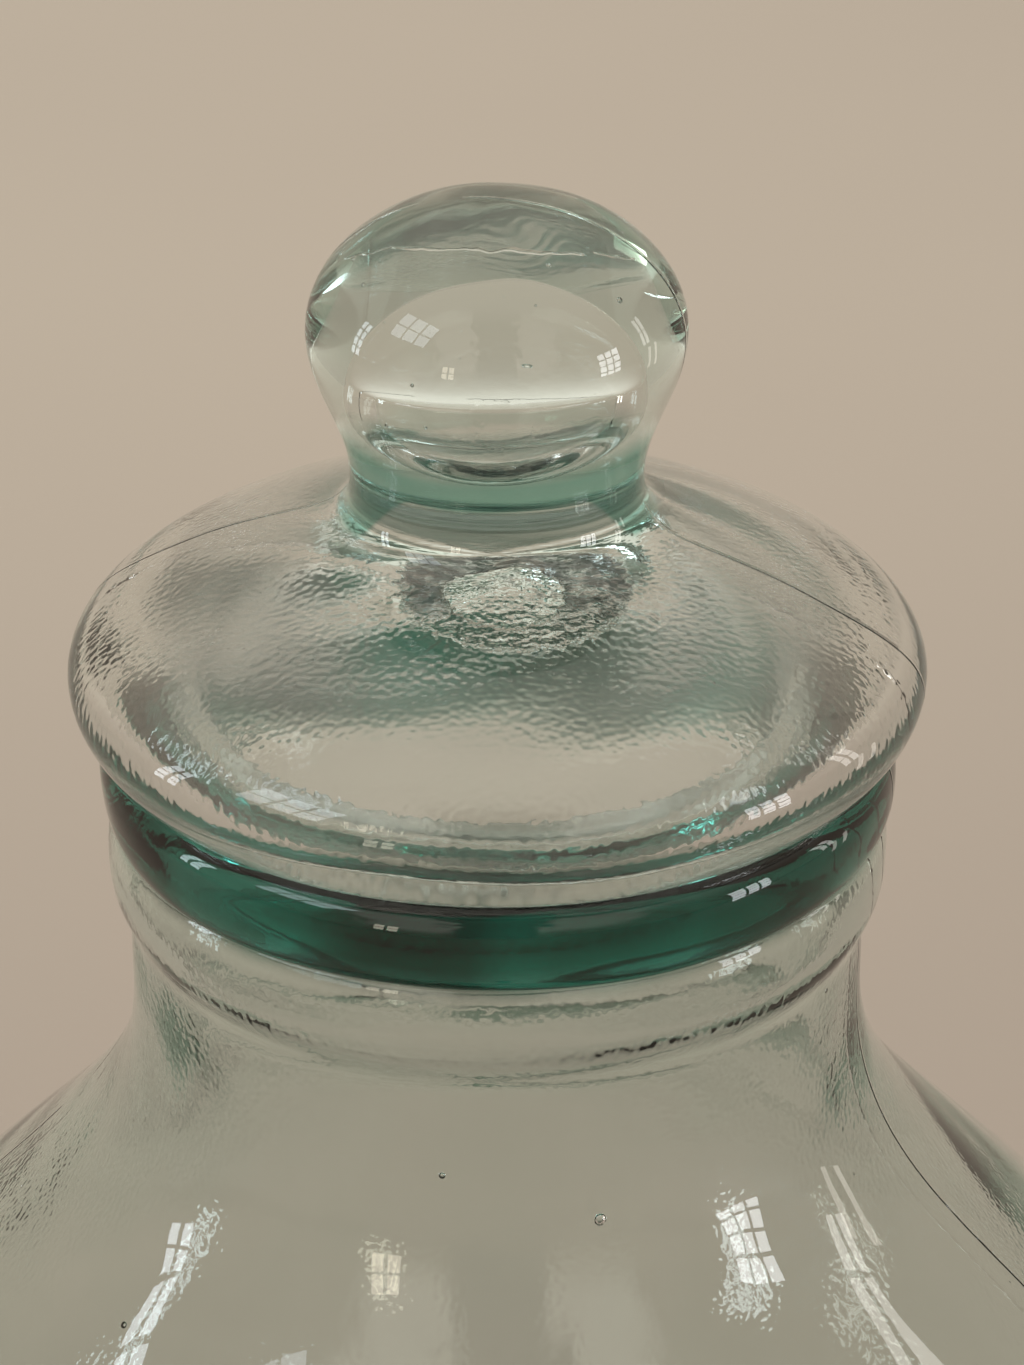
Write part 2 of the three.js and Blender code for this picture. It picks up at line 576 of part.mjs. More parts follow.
function leverPin() {
  const pin = rod(PIN_RADIUS, -FORK_WIDTH / 2, FORK_WIDTH / 2, SMALL_SEGMENTS);
  return piece("lever_pin", crosswise(pin), STEEL);
}

function tap() {
  const group = new THREE.Group();
  group.position.set(0, -bossOuter, TAP_HEIGHT);
  const valve = new THREE.Group();
  valve.position.y = -valveAxis;
  const handle = new THREE.Group();
  handle.position.z = pinHeight;
  handle.add(lever(), leverGrip(), leverPin());
  valve.add(bonnet(), gasket(), seatCup(), valveStem(), returnSpring(), handle);
  group.add(tapBody(), ...washers(), lockNut(), valve);
  return group;
}

const dispenser = new THREE.Group();
dispenser.add(jar(), lid(), tap());

export default dispenser;
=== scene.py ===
"""Glass beverage dispenser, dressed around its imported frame.

A blown jar and lid of recycled green glass, with a lever tap near the base. Sizes are in millimetres and
become metres when a mesh is made. +Z is up along the jar's axis, and the tap faces -Y.
"""

import logging
import math
from dataclasses import dataclass, replace
from enum import Enum
from typing import Any, Sequence

import bmesh
import bpy
import numpy as np
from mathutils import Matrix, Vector


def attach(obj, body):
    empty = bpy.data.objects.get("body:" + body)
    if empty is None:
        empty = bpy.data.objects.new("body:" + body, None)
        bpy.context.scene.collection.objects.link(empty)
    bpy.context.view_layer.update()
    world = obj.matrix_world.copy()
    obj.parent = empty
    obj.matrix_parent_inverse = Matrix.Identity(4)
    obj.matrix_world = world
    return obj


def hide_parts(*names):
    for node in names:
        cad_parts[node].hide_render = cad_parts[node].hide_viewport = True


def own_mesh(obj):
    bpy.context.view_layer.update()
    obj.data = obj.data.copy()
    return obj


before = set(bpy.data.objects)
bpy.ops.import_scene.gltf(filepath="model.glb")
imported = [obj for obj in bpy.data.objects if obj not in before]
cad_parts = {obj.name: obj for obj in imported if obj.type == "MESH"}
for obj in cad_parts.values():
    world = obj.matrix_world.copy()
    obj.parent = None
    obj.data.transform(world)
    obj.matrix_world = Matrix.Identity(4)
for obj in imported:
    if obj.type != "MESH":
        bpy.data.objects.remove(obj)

log = logging.getLogger("dispenser")

MM = 0.001  # metres in a millimetre
WELD = 0.002  # points closer than this are one point
CONTACT = 0.2  # air between two faces that rest on each other
CRISP = 40.0  # edges of metal and rubber that turn by more degrees than this stay sharp
ARC = math.radians(15)  # most turn between two rows of a small rounded edge
ROUND_HANDLE = 0.5523  # handle of a cubic that follows a quarter circle, as a share of its radius
FINE_STEPS = 400  # points along a stroke while it is measured
BUBBLE_MARK = 0.05  # mark of a bubble's skin, which is neither outside nor inside

Point = tuple[float, float]
Triple = tuple[float, float, float]
Colour = tuple[float, float, float, float]


def bezier(handles: np.ndarray, share: np.ndarray) -> np.ndarray:
    """Points of a Bezier curve, by repeated interpolation between neighbouring handles.

    Args:
        handles: the start, any handles, and the end, one row each.
        share: places along the curve, from 0 to 1.

    Returns:
        One row per place.
    """
    layer = handles[:, None, :]
    blend = share[None, :, None]
    for _ in range(len(handles) - 1):
        layer = layer[:-1] * (1 - blend) + layer[1:] * blend
    return layer[0]


def smoothstep(low: float, high: float, value: np.ndarray) -> np.ndarray:
    """0 below low, 1 above high, and 3t² - 2t³ of the share t between them."""
    share = np.clip((value - low) / (high - low), 0, 1)
    return share * share * (3 - 2 * share)


class Outline:
    """A profile in (radius, height), drawn stroke by stroke with the solid on its left."""

    def __init__(self, radius: float, height: float) -> None:
        """Put the pen down at a radius and height."""
        self.pen: Point = (radius, height)
        self.strokes: list[np.ndarray] = []

    def to(self, *points: Point) -> "Outline":
        """Draw a stroke: straight to one point, or a Bezier curve to the last of two or three.

        Args:
            points: any handles, then the end.

        Returns:
            The outline itself, so that strokes chain.
        """
        self.strokes.append(np.array([self.pen, *points], float))
        self.pen = points[-1]
        return self

    def cap(self, radius: float, height: float, top: float) -> "Outline":
        """Draw a quarter of an oval from its widest circle to its top on the axis."""
        rise = (top - height) * ROUND_HANDLE
        return self.to((radius, height + rise), (radius * ROUND_HANDLE, top), (0, top))

    def sample(self, spacing: float, bend: float = math.radians(6)) -> np.ndarray:
        """Points along all strokes, closer together where they turn.

        A stroke is measured by the sum of step / spacing + turn / bend, and its points lie at equal measures.

        Args:
            spacing: most that two points are apart.
            bend: most that the stroke turns between two points, in radians.

        Returns:
            One (radius, height) row per point.
        """
        parts = [self.strokes[0][:1]]
        fine = np.linspace(0, 1, FINE_STEPS)
        for stroke in self.strokes:
            steps = np.diff(bezier(stroke, fine), axis=0)
            heading = np.unwrap(np.arctan2(steps[:, 1], steps[:, 0]))
            turned = np.abs(np.diff(heading, prepend=heading[0]))
            measure = np.cumsum(np.hypot(steps[:, 0], steps[:, 1]) / spacing + turned / bend)
            measure = np.concatenate([[0], measure])
            count = max(1, math.ceil(measure[-1]))
            share = np.interp(np.linspace(0, measure[-1], count + 1)[1:], measure, fine)
            parts.append(bezier(stroke, share))
        return np.concatenate(parts)


@dataclass(frozen=True)
class Ripple:
    """Slow unevenness of blown glass: a mean of sine waves round the axis and along the profile."""

    height: float
    seed: int
    waves: int = 8
    most_turns: int = 6  # whole waves round the axis
    longest: float = 160.0  # wavelengths along the profile
    shortest: float = 45.0

    def over(self, profile: np.ndarray, segments: int) -> np.ndarray:
        """Mean of sin(turns * angle + pitch * along + phase) over the waves, times the height.

        Args:
            profile: (radius, height) rows, along which the distance is measured.
            segments: columns round the axis.

        Returns:
            rows x segments of how far each point is pushed out.
        """
        draw = np.random.default_rng(self.seed)
        turns = draw.integers(1, self.most_turns + 1, self.waves)
        pitch = 2 * np.pi / draw.uniform(self.shortest, self.longest, self.waves)
        phase = draw.uniform(0, 2 * np.pi, self.waves)
        steps = np.diff(profile, axis=0, prepend=profile[:1])
        along = np.cumsum(np.hypot(*steps.T))[:, None, None]
        waves = np.sin(turns * angles(segments)[None, :, None] + pitch * along + phase)
        return self.height * waves.mean(axis=-1)


def profile_normals(profile: np.ndarray) -> np.ndarray:
    """Unit normals (dz, -dr) of a profile, on its right, where the air is."""
    step = np.gradient(profile, axis=0)
    normal = np.stack([step[:, 1], -step[:, 0]], axis=-1)
    return normal / np.maximum(np.linalg.norm(normal, axis=-1, keepdims=True), 1e-9)


def row_at(profile: np.ndarray, radius: float, height: float) -> int:
    """Index of the row of a profile nearest to a radius and height."""
    return int(np.argmin(np.hypot(profile[:, 0] - radius, profile[:, 1] - height)))


def angles(segments: int) -> np.ndarray:
    """Evenly spaced angles of a full turn."""
    return np.linspace(0, 2 * np.pi, segments, endpoint=False)


def turned(profile: np.ndarray, segments: int, lift: np.ndarray | None = None) -> np.ndarray:
    """A profile turned round +Z: (r cos a, r sin a, z), after each point moves along its normal by its lift.

    Args:
        profile: (radius, height) rows.
        segments: columns round the axis.
        lift: rows x segments of distances along the profile's normal.

    Returns:
        rows x segments x 3 points.
    """
    angle = angles(segments)
    radius = np.repeat(profile[:, :1], segments, axis=1)
    height = np.repeat(profile[:, 1:], segments, axis=1)
    if lift is not None:
        normal = profile_normals(profile)
        radius = radius + lift * normal[:, :1]
        height = height + lift * normal[:, 1:]
    return np.stack([radius * np.cos(angle), radius * np.sin(angle), height], axis=-1)


def rounded(corners: Sequence[Triple], closed: bool = False) -> Outline:
    """Straight edges from corner to corner, each corner eased by a quadratic curve that has it as its handle.

    Args:
        corners: radius, height and the length of both edges that the easing takes up.
        closed: join the last corner to the first, starting in the middle of that edge.

    Returns:
        The outline.
    """
    places = np.array([corner[:2] for corner in corners], float)
    start = (places[-1] + places[0]) / 2 if closed else places[0]
    line = Outline(*start)
    for index in range(0 if closed else 1, len(corners) - (0 if closed else 1)):
        corner, easing = places[index], corners[index][2]
        before = places[index - 1] - corner
        after = places[(index + 1) % len(corners)] - corner
        line.to(tuple(corner + before * easing / np.hypot(*before)))
        line.to(tuple(corner), tuple(corner + after * easing / np.hypot(*after)))
    return line.to(tuple(start if closed else places[-1]))


class Facing(Enum):
    """Which way the axis of a turned piece points."""

    UP = "up"
    OUT = "out of the tap"
    ACROSS = "across the tap"

    def place(self, points: np.ndarray, centre: Triple = (0, 0, 0)) -> np.ndarray:
        """Turn points made round +Z so that their axis points this way, and move them.

        Args:
            points: an array whose last axis is x, y and z.
            centre: where their origin goes.

        Returns:
            The moved points.
        """
        x, y, z = np.moveaxis(points, -1, 0)
        turned_axes = {Facing.UP: (x, y, z), Facing.OUT: (x, -z, y), Facing.ACROSS: (z, x, y)}[self]
        return np.stack(turned_axes, axis=-1) + np.asarray(centre)


def window_loop(points: np.ndarray, rows: tuple[int, int], columns: tuple[int, int]) -> np.ndarray:
    """Points round a window in a grid, anticlockwise for someone outside who faces it.

    Args:
        points: the grid.
        rows: the window's lowest and highest row; on an inner face, which runs down, the first is the larger.
        columns: its first and last column.

    Returns:
        One row per point, from the lower left corner.
    """
    low, high = rows
    first, last = columns
    step = 1 if high > low else -1
    right, left = np.arange(first, last), np.arange(last, first, -1)
    up, down = np.arange(low, high, step), np.arange(high, low, -step)
    row = np.concatenate([np.full(len(right), low), up, np.full(len(left), high), down])
    column = np.concatenate([right, np.full(len(up), last), left, np.full(len(down), first)])
    return points[row, column]


def without_windows(points: np.ndarray, *windows: tuple[tuple[int, int], tuple[int, int]]) -> np.ndarray:
    """Which cells of a grid lie outside its windows.

    Args:
        points: the grid.
        windows: the rows and columns of each, as for window_loop.

    Returns:
        (rows - 1) x columns truths.
    """
    keep = np.ones((points.shape[0] - 1, points.shape[1]), bool)
    for rows, columns in windows:
        keep[min(rows):max(rows), slice(*columns)] = False
    return keep


def spokes(loop: np.ndarray, height: float, side: int) -> tuple[np.ndarray, np.ndarray]:
    """Distance and angle of a loop's points about an axis along Y.

    Args:
        loop: points, anticlockwise from the lower left.
        height: of the axis.
        side: where they are seen from, -1 for -Y and 1 for +Y.

    Returns:
        Distances, and angles that grow along the loop.
    """
    across, up = -side * loop[:, 0], loop[:, 2] - height
    return np.hypot(across, up), np.unwrap(np.arctan2(up, across))


def lofted(
    half_x: np.ndarray, half_y: np.ndarray, height: np.ndarray, square: float, segments: int,
) -> np.ndarray:
    """Superellipses up +Z: (hx s(cos a), hy s(sin a), z), with s(c) = sign(c) |c|^(2 / square).

    Args:
        half_x: half widths, one per section; 0 closes an end.
        half_y: half depths.
        height: heights.
        square: 2 for an oval, more for a squarer section.
        segments: columns round the axis.

    Returns:
        rows x segments x 3 points.
    """
    angle = angles(segments)
    across = np.sign(np.cos(angle)) * np.abs(np.cos(angle)) ** (2 / square)
    along = np.sign(np.sin(angle)) * np.abs(np.sin(angle)) ** (2 / square)
    level = np.repeat(height[:, None], segments, axis=1)
    return np.stack([half_x[:, None] * across, half_y[:, None] * along, level], axis=-1)


def bar(half: Point, heights: Point, square: float, segments: int) -> np.ndarray:
    """An upright bar with one section and flat, closed ends.

    Args:
        half: half its width and depth.
        heights: of its ends.
        square: how square the section is, as for lofted.
        segments: columns round the axis.

    Returns:
        rows x segments x 3 points.
    """
    size = np.array([0, 1, 1, 0.0])
    return lofted(half[0] * size, half[1] * size, np.repeat(heights, 2), square, segments)


class Skin:
    """Patches of quads gathered into one closed mesh."""

    def __init__(self) -> None:
        """Start with no patches."""
        self.points: list[np.ndarray] = []
        self.quads: list[np.ndarray] = []
        self.marks: list[np.ndarray] = []
        self.total = 0

    def patch(
        self, points: np.ndarray, keep: np.ndarray | None = None, flip: bool = False, inner: float = 0.0,
    ) -> None:
        """Add a grid whose last column joins its first. Faces look along column step x row step.

        Args:
            points: rows x columns x 3.
            keep: (rows - 1) x columns truths, for a grid with some cells left out.
            flip: turn the faces round.
            inner: mark for finishes that treat the inside of a vessel in their own way.
        """
        rows, columns = points.shape[:2]
        index = np.arange(rows * columns).reshape(rows, columns) + self.total
        index = np.concatenate([index, index[:, :1]], axis=1)
        quads = np.stack([index[:-1, :-1], index[:-1, 1:], index[1:, 1:], index[1:, :-1]], axis=-1)
        kept = quads.reshape(-1, 4) if keep is None else quads[keep]
        self.quads.append(kept[:, ::-1] if flip else kept)
        self.points.append(points.reshape(-1, 3))
        self.marks.append(np.full(rows * columns, inner))
        self.total += rows * columns

    def piece(self, name: str, finish: bpy.types.Material, crisp: float = 180.0) -> bpy.types.Object:
        """Weld the patches into one smooth mesh in metres and link its object at the origin.

        Args:
            name: the object's name.
            finish: its material.
            crisp: edges that turn by more degrees than this stay sharp.

        Returns:
            The new object.
        """
        mesh = bpy.data.meshes.new(name)
        points = np.concatenate(self.points) * MM
        mesh.from_pydata(points.tolist(), [], np.concatenate(self.quads).tolist())
        mesh.attributes.new("inner", "FLOAT", "POINT").data.foreach_set("value", np.concatenate(self.marks))
        welded = bmesh.new()
        welded.from_mesh(mesh)
        bmesh.ops.remove_doubles(welded, verts=welded.verts, dist=WELD * MM)
        loose = [vertex for vertex in welded.verts if not vertex.link_faces]
        bmesh.ops.delete(welded, geom=loose, context="VERTS")
        welded.to_mesh(mesh)
        welded.free()
        mesh.polygons.foreach_set("use_smooth", np.ones(len(mesh.polygons), bool))
        mesh.set_sharp_from_angle(angle=math.radians(crisp))
        mesh.materials.append(finish)
        obj = bpy.data.objects.new(name, mesh)
        bpy.context.scene.collection.objects.link(obj)
        return obj


@dataclass(frozen=True)
class Bubbles:
    """Small air bubbles caught in the glass, as balls whose faces look in at their air."""

    count: int
    seed: int
    depth: tuple[float, float]  # least and most below the outer face
    radius: tuple[float, float]
    chosen: tuple[tuple[float, float, float, float], ...] = ()  # centre and radius of further ones

    def ball(self, segments: int = 8) -> np.ndarray:
        """Grid of a ball of radius 1: (sin b cos a, sin b sin a, -cos b)."""
        polar = np.linspace(0, np.pi, 6)
        return turned(np.stack([np.sin(polar), -np.cos(polar)], axis=-1), segments)

    def scatter(self, skin: Skin, face: np.ndarray) -> None:
        """Add the bubbles to a skin.

        Each lies at a drawn place of the face, moved in along minus (column step x row step). Its radius is
        least + (most - least) u³ with u drawn evenly, so that most are small.

        Args:
            skin: the piece's patches.
            face: grid of the outer face below which they lie.
        """
        draw = np.random.default_rng(self.seed)
        row = draw.integers(1, face.shape[0] - 2, self.count)
        column = draw.integers(0, face.shape[1] - 1, self.count)
        start = face[row, column]
        inward = np.cross(face[row + 1, column] - start, face[row, column + 1] - start)
        inward = inward / np.linalg.norm(inward, axis=-1, keepdims=True)
        centre = start + inward * draw.uniform(*self.depth, (self.count, 1))
        size = self.radius[0] + (self.radius[1] - self.radius[0]) * draw.uniform(0, 1, self.count) ** 3
        drawn = np.concatenate([centre, size[:, None]], axis=1)
        for x, y, z, radius in (*drawn, *self.chosen):
            skin.patch(self.ball() * radius + (x, y, z), flip=True, inner=BUBBLE_MARK)


class Join(Enum):
    """How one closed piece changes another."""

    ADD = "UNION"
    CUT = "DIFFERENCE"

    def work(self, piece: bpy.types.Object, tool: bpy.types.Object) -> None:
        """Add a tool's solid to a piece or cut it out, and do away with the tool.

        Args:
            piece: the closed piece that is changed.
            tool: the closed piece that changes it.
        """
        change = piece.modifiers.new(self.name, "BOOLEAN")
        change.operation = self.value
        change.solver = "MANIFOLD"
        change.object = tool
        settle(piece)
        bpy.data.objects.remove(tool)


def settle(piece: bpy.types.Object) -> None:
    """Make a piece's modifiers part of its mesh."""
    bpy.context.view_layer.update()
    worked = piece.evaluated_get(bpy.context.evaluated_depsgraph_get())
    mesh = bpy.data.meshes.new_from_object(worked)
    piece.modifiers.clear()
    piece.data = mesh


def ease_edges(piece: bpy.types.Object, width: float, crisp: float = 35.0) -> None:
    """Round the edges that turn by more than `crisp` degrees.

    Args:
        piece: the object.
        width: of the rounding, in millimetres.
        crisp: in degrees.
    """
    edges = piece.modifiers.new("edges", "BEVEL")
    edges.width = width * MM
    edges.segments = 2
    edges.limit_method = "ANGLE"
    edges.angle_limit = math.radians(crisp)
    settle(piece)
    piece.data.polygons.foreach_set("use_smooth", np.ones(len(piece.data.polygons), bool))
    piece.data.set_sharp_from_angle(angle=math.radians(crisp))


def grid_piece(
    name: str, finish: bpy.types.Material, points: np.ndarray, crisp: float = 180.0, flip: bool = False,
) -> bpy.types.Object:
    """One grid made into a piece.

    Args:
        name: the object's name.
        finish: its material.
        points: rows x columns x 3.
        crisp: edges that turn by more degrees than this stay sharp.
        flip: turn the faces round.

    Returns:
        The new object.
    """
    skin = Skin()
    skin.patch(points, flip=flip)
    return skin.piece(name, finish, crisp)


def turned_piece(
    name: str, finish: bpy.types.Material, profile: np.ndarray, facing: Facing = Facing.UP,
    centre: Triple = (0, 0, 0), segments: int = 96,
) -> bpy.types.Object:
    """A profile turned into one closed piece.

    Args:
        name: the object's name.
        finish: its material.
        profile: (radius, height) rows, from axis to axis or closed.
        facing: where the axis points.
        centre: where the profile's origin lies.
        segments: columns round the axis.

    Returns:
        The new object.
    """
    return grid_piece(name, finish, facing.place(turned(profile, segments), centre), CRISP)


class Value:
    """A node's output, with arithmetic that adds Math nodes."""

    def __init__(self, sheet: "NodeSheet", socket: bpy.types.NodeSocket | None) -> None:
        """Wrap an output socket of a sheet's tree."""
        self.sheet = sheet
        self.socket = socket

    def math(self, operation: str, *others: Any) -> "Value":
        """One Math node on this value and the others."""
        inputs = dict(enumerate((self, *others)))
        return self.sheet.node("ShaderNodeMath", {"operation": operation}, inputs)

    def __add__(self, other: Any) -> "Value":
        """Sum."""
        return self.math("ADD", other)

    __radd__ = __add__

    def __mul__(self, other: Any) -> "Value":
        """Product."""
        return self.math("MULTIPLY", other)

    __rmul__ = __mul__

    def __sub__(self, other: Any) -> "Value":
        """Difference."""
        return self.math("SUBTRACT", other)

    def __rsub__(self, other: float) -> "Value":
        """A number less this value."""
        return (self * -1.0) + other

    def __abs__(self) -> "Value":
        """Size without sign."""
        return self.math("ABSOLUTE")

    def most(self, other: Any) -> "Value":
        """The larger of two values."""
        return self.math("MAXIMUM", other)

    def step(self, low: float, high: float) -> "Value":
        """0 at low, 1 at high and smooth between; low may be the larger."""
        inputs = {"Value": self, "From Min": low, "From Max": high}
        return self.sheet.node("ShaderNodeMapRange", {"interpolation_type": "SMOOTHSTEP"}, inputs)


class NodeSheet:
    """A node tree written by calls. Its place is the point on the piece in metres, or a world's direction."""

    def __init__(self, tree: bpy.types.NodeTree, place: str = "Object") -> None:
        """Empty the tree and choose which coordinates its place has."""
        self.tree = tree
        tree.nodes.clear()
        self.place = self.node("ShaderNodeTexCoord", output=place)

    def node(
        self, kind: str, settings: dict[str, Any] | None = None,
        inputs: dict[int | str, Any] | None = None, output: int | str = 0,
    ) -> Value:
        """Add one node.

        Args:
            kind: the node's type.
            settings: its own properties, set before its sockets.
            inputs: numbers, colours or values for its sockets, by name or index.
            output: the socket to hand back.

        Returns:
            That output as a value; an end node has none.
        """
        made = self.tree.nodes.new(kind)
        for name, setting in (settings or {}).items():
            setattr(made, name, setting)
        for key, given in (inputs or {}).items():
            if isinstance(given, Value):
                self.tree.links.new(given.socket, made.inputs[key])
            else:
                made.inputs[key].default_value = given
        return Value(self, made.outputs[output] if made.outputs else None)

    def axis(self, name: str) -> Value:
        """One coordinate of the place."""
        return self.node("ShaderNodeSeparateXYZ", inputs={0: self.place}, output=name)

    def vector(self, operation: str, first: Value, fixed: Triple = (0, 0, 0), output: int | str = 0) -> Value:
        """One Vector Math node on a vector and a fixed one."""
        return self.node("ShaderNodeVectorMath", {"operation": operation}, {0: first, 1: fixed}, output)

    def noise(self, size: float, detail: float = 2.0, stretch: Triple = (1, 1, 1)) -> Value:
        """Smooth noise.

        Args:
            size: of its blots, about, in millimetres.
            detail: how many finer layers it has.
            stretch: scale along each axis; blots are drawn out where it is small.

        Returns:
            A value from 0 to 1.
        """
        scaled = self.vector("MULTIPLY", self.place, stretch)
        inputs = {"Vector": scaled, "Scale": 1 / (size * MM), "Detail": detail}
        return self.node("ShaderNodeTexNoise", inputs=inputs)

    def from_middle(self, middle: Point, size: Point) -> Value:
        """Distance across X and Y from a middle, as a share of an oval's size.

        Args:
            middle: of the oval, in millimetres.
            size: half its width and depth.

        Returns:
            0 at the middle and 1 on the oval.
        """
        moved = self.vector("SUBTRACT", self.place, (middle[0] * MM, middle[1] * MM, 0.0))
        scaled = self.vector("MULTIPLY", moved, (1 / (size[0] * MM), 1 / (size[1] * MM), 0.0))
        return self.vector("LENGTH", scaled, output="Value")

    def mix(self, share: Any, first: Any, second: Any) -> Value:
        """Colour that runs from the first to the second."""
        return self.node("ShaderNodeMix", {"data_type": "RGBA"}, {0: share, 6: first, 7: second}, output=2)

    def bump(self, height: Value) -> Value:
        """Normal of a surface raised by a height in millimetres."""
        return self.node("ShaderNodeBump", inputs={"Strength": 1.0, "Distance": MM, "Height": height})

    def principled(self, inputs: dict[int | str, Any]) -> Value:
        """A Principled shader with some of its sockets set."""
        return self.node("ShaderNodeBsdfPrincipled", inputs=inputs)

    def finish(self, surface: Value, volume: Value | None = None) -> None:
        """End a material's tree in its surface and any volume."""
        ends = {"Surface": surface, "Volume": volume} if volume else {"Surface": surface}
        self.node("ShaderNodeOutputMaterial", inputs=ends)


def linear(red: int, green: int, blue: int) -> Colour:
    """A display colour, 0 to 255, as the linear colour that a shader takes."""
    scaled = [channel / 255 for channel in (red, green, blue)]
    return (*(c / 12.92 if c <= 0.04045 else ((c + 0.055) / 1.055) ** 2.4 for c in scaled), 1.0)


def new_material(name: str) -> tuple[bpy.types.Material, NodeSheet]:
    """An empty node material and its sheet."""
    material = bpy.data.materials.new(name)
    material.use_nodes = True
    return material, NodeSheet(material.node_tree)


@dataclass(frozen=True)
class RecycledGlass:
    """Grey-green glass with an uneven skin and mould seams, and with marks that a jar or a lid may have.

    A jar's rim may carry a band of painted shade. A lid may have a dull inside with a tool's mark, painted
    deep-green shade round its neck and a cold crease over its knob. Lengths are in millimetres, and heights
    are above the jar's base.
    """

    refraction: float = 1.52
    tint: Colour = (0.2, 0.52, 0.44, 1.0)  # what is left of deep glass
    depth: float = 22.0  # absorption per metre
    clear: Colour = (0.99, 1.0, 0.995, 1.0)
    streaked: Colour = (0.96, 0.985, 0.972, 1.0)
    smoothness: float = 0.002  # roughness of the clear areas
    haze: float = 0.015  # what dull patches add to it
    waviness: float = 0.2  # height of the slow waves
    inside_roughness: float = 0.0
    inside_peel: float = 0.03  # height of the inner orange peel
    seam: float = math.radians(-12)  # direction of the mould's parting plane, from +X
    seam_half: Point = (0.55, 0.05)  # half the seam's width at its foot and its crest
    seam_height: float = 0.9
    ring: Point | None = None  # heights between which painted shade darkens the glass
    # painted shade of the rim: the dark teal under the lid's edge
    ring_painted_shade: Colour = (0.001, 0.07, 0.05, 1.0)
    ring_painted_shade_pale: Colour = (0.012, 0.27, 0.215, 1.0)  # paler patches of that painted shade
    ring_work: float = 0.22  # height of the tool's streaks on it
    scar: Triple | None = None  # middle of the tool's mark under a lid
    scar_size: Point = (16.0, 14.5)  # half its width and depth
    scar_bare: Point = (0.52, 0.6)  # size of its bare middle, as a share of its own
    scar_shift: float = 1.5  # of that middle, to the left and the front
    scar_tear: float = 0.28  # how far its edge is torn, as a share of its size
    scar_crumple: float = 0.36  # height of its crumpled skin
    scar_dip: float = 0.35  # how deep it lies
    scar_rise: float = 0.3  # how far the bare middle stands up in it
    scale_colour: Colour = (0.02, 0.03, 0.026, 1.0)  # dark scale that the tool leaves
    scale_cover: float = 0.8  # how much of the glass it hides
    crease: float | None = None  # height above which a knob has a cold crease
    crease_line: Triple = (-13.75, -0.037, 0.0186)  # y = a + b x + c x² along it
    crease_ends: Point = (21.0, 18.5)  # where it ends and where it starts to fade, from its middle
    crease_depth: float = 0.6
    deep: Point | None = None  # heights of a band of painted deep-green shade round a lid's neck
    # colour of that painted shade
    deep_painted_shade: Colour = (0.14, 0.43, 0.36, 1.0)

    def parting(self, sheet: NodeSheet) -> Value:
        """Height of the two seams, a broken ridge where the parting plane cuts the outer face.

        Args:
            sheet: the material's nodes.

        Returns:
            Height in millimetres.
        """
        across = (math.sin(self.seam), -math.cos(self.seam), 0.0)
        off_plane = sheet.vector("DOT_PRODUCT", sheet.place, across, "Value")
        foot, crest = self.seam_half
        broken = sheet.noise(12, detail=1).step(0.3, 0.5)
        return abs(off_plane).step(foot * MM, crest * MM) * broken * self.seam_height

    def tool_mark(self, sheet: NodeSheet) -> tuple[Value, Value]:
        """Height of a crumpled disc with a torn edge, and the scale round its middle.

        Args:
            sheet: the material's nodes.

        Returns:
            Height in millimetres, and a mask that is 1 where dark scale lies.
        """
        x, y, z = self.scar
        wide, deep = self.scar_size
        bare_size = (self.scar_bare[0] * wide, self.scar_bare[1] * deep)
        bare_middle = (x - self.scar_shift, y - self.scar_shift)
        ragged = (sheet.noise(1.4, detail=2) - 0.5) * self.scar_tear
        near = sheet.axis("Z").step((z - 8) * MM, (z - 6) * MM)
        within = (sheet.from_middle((x, y), self.scar_size) + ragged).step(1.03, 0.97) * near
        centre = (sheet.from_middle(bare_middle, bare_size) + ragged).step(1.04, 0.96) * near
        crumple = sheet.noise(2.0, detail=2) * self.scar_crumple
        back = sheet.axis("Y").step((y - 0.8 * deep) * MM, (y - 0.1 * deep) * MM)
        worn = (0.3 + 0.7 * back) * (0.45 + 0.55 * sheet.noise(3, detail=2).step(0.35, 0.6))
        streaks = centre * sheet.noise(1.6, detail=2).step(0.56, 0.66) * 0.5
        height = within * crumple - within * self.scar_dip + centre * self.scar_rise
        return height, ((within - centre).most(0) * worn).most(streaks)

    def cold_crease(self, sheet: NodeSheet) -> Value:
        """Mask of a broken, wandering crease over the knob.

        Args:
            sheet: the material's nodes.

        Returns:
            1 in the crease and 0 away from it.
        """
        start, lean, curl = self.crease_line
        x, y = (sheet.axis(name) * (1 / MM) for name in "XY")
        wander = (sheet.noise(4, detail=1) - 0.5) * 2.4
        off_line = abs(y - start - lean * x - curl * (x * x) + wander)
        above = sheet.axis("Z").step(self.crease * MM, (self.crease + 1) * MM)
        broken = sheet.noise(5, detail=0).step(0.3, 0.4)
        return off_line.step(0.3, 0.04) * (abs(x + 1.0).step(*self.crease_ends) * above) * broken

    def painted_shade_rim(self, sheet: NodeSheet, waves: Value, colour: Value) -> tuple[Value, Value]:
        """Painted shade that darkens the rim above the ring's heights, with the tool's streaks from a little
        below it.

        Args:
            sheet: the material's nodes.
            waves: noise that moves the ring up and down.
            colour: of the glass below.

        Returns:
            Colour, and height in millimetres.
        """
        low, high = self.ring
        level = sheet.axis("Z") + (waves - 0.5) * (1.5 * MM)
        painted_shade_patches = sheet.noise(26, detail=1, stretch=(1, 1, 0.6)).step(0.4, 0.62)
        ring = sheet.mix(painted_shade_patches, self.ring_painted_shade, self.ring_painted_shade_pale)
        worked = level.step((low - 16) * MM, (low - 8) * MM)
        streaks = sheet.noise(30, detail=0, stretch=(1, 1, 6)) * self.ring_work
        return sheet.mix(level.step(low * MM, high * MM), colour, ring), worked * streaks

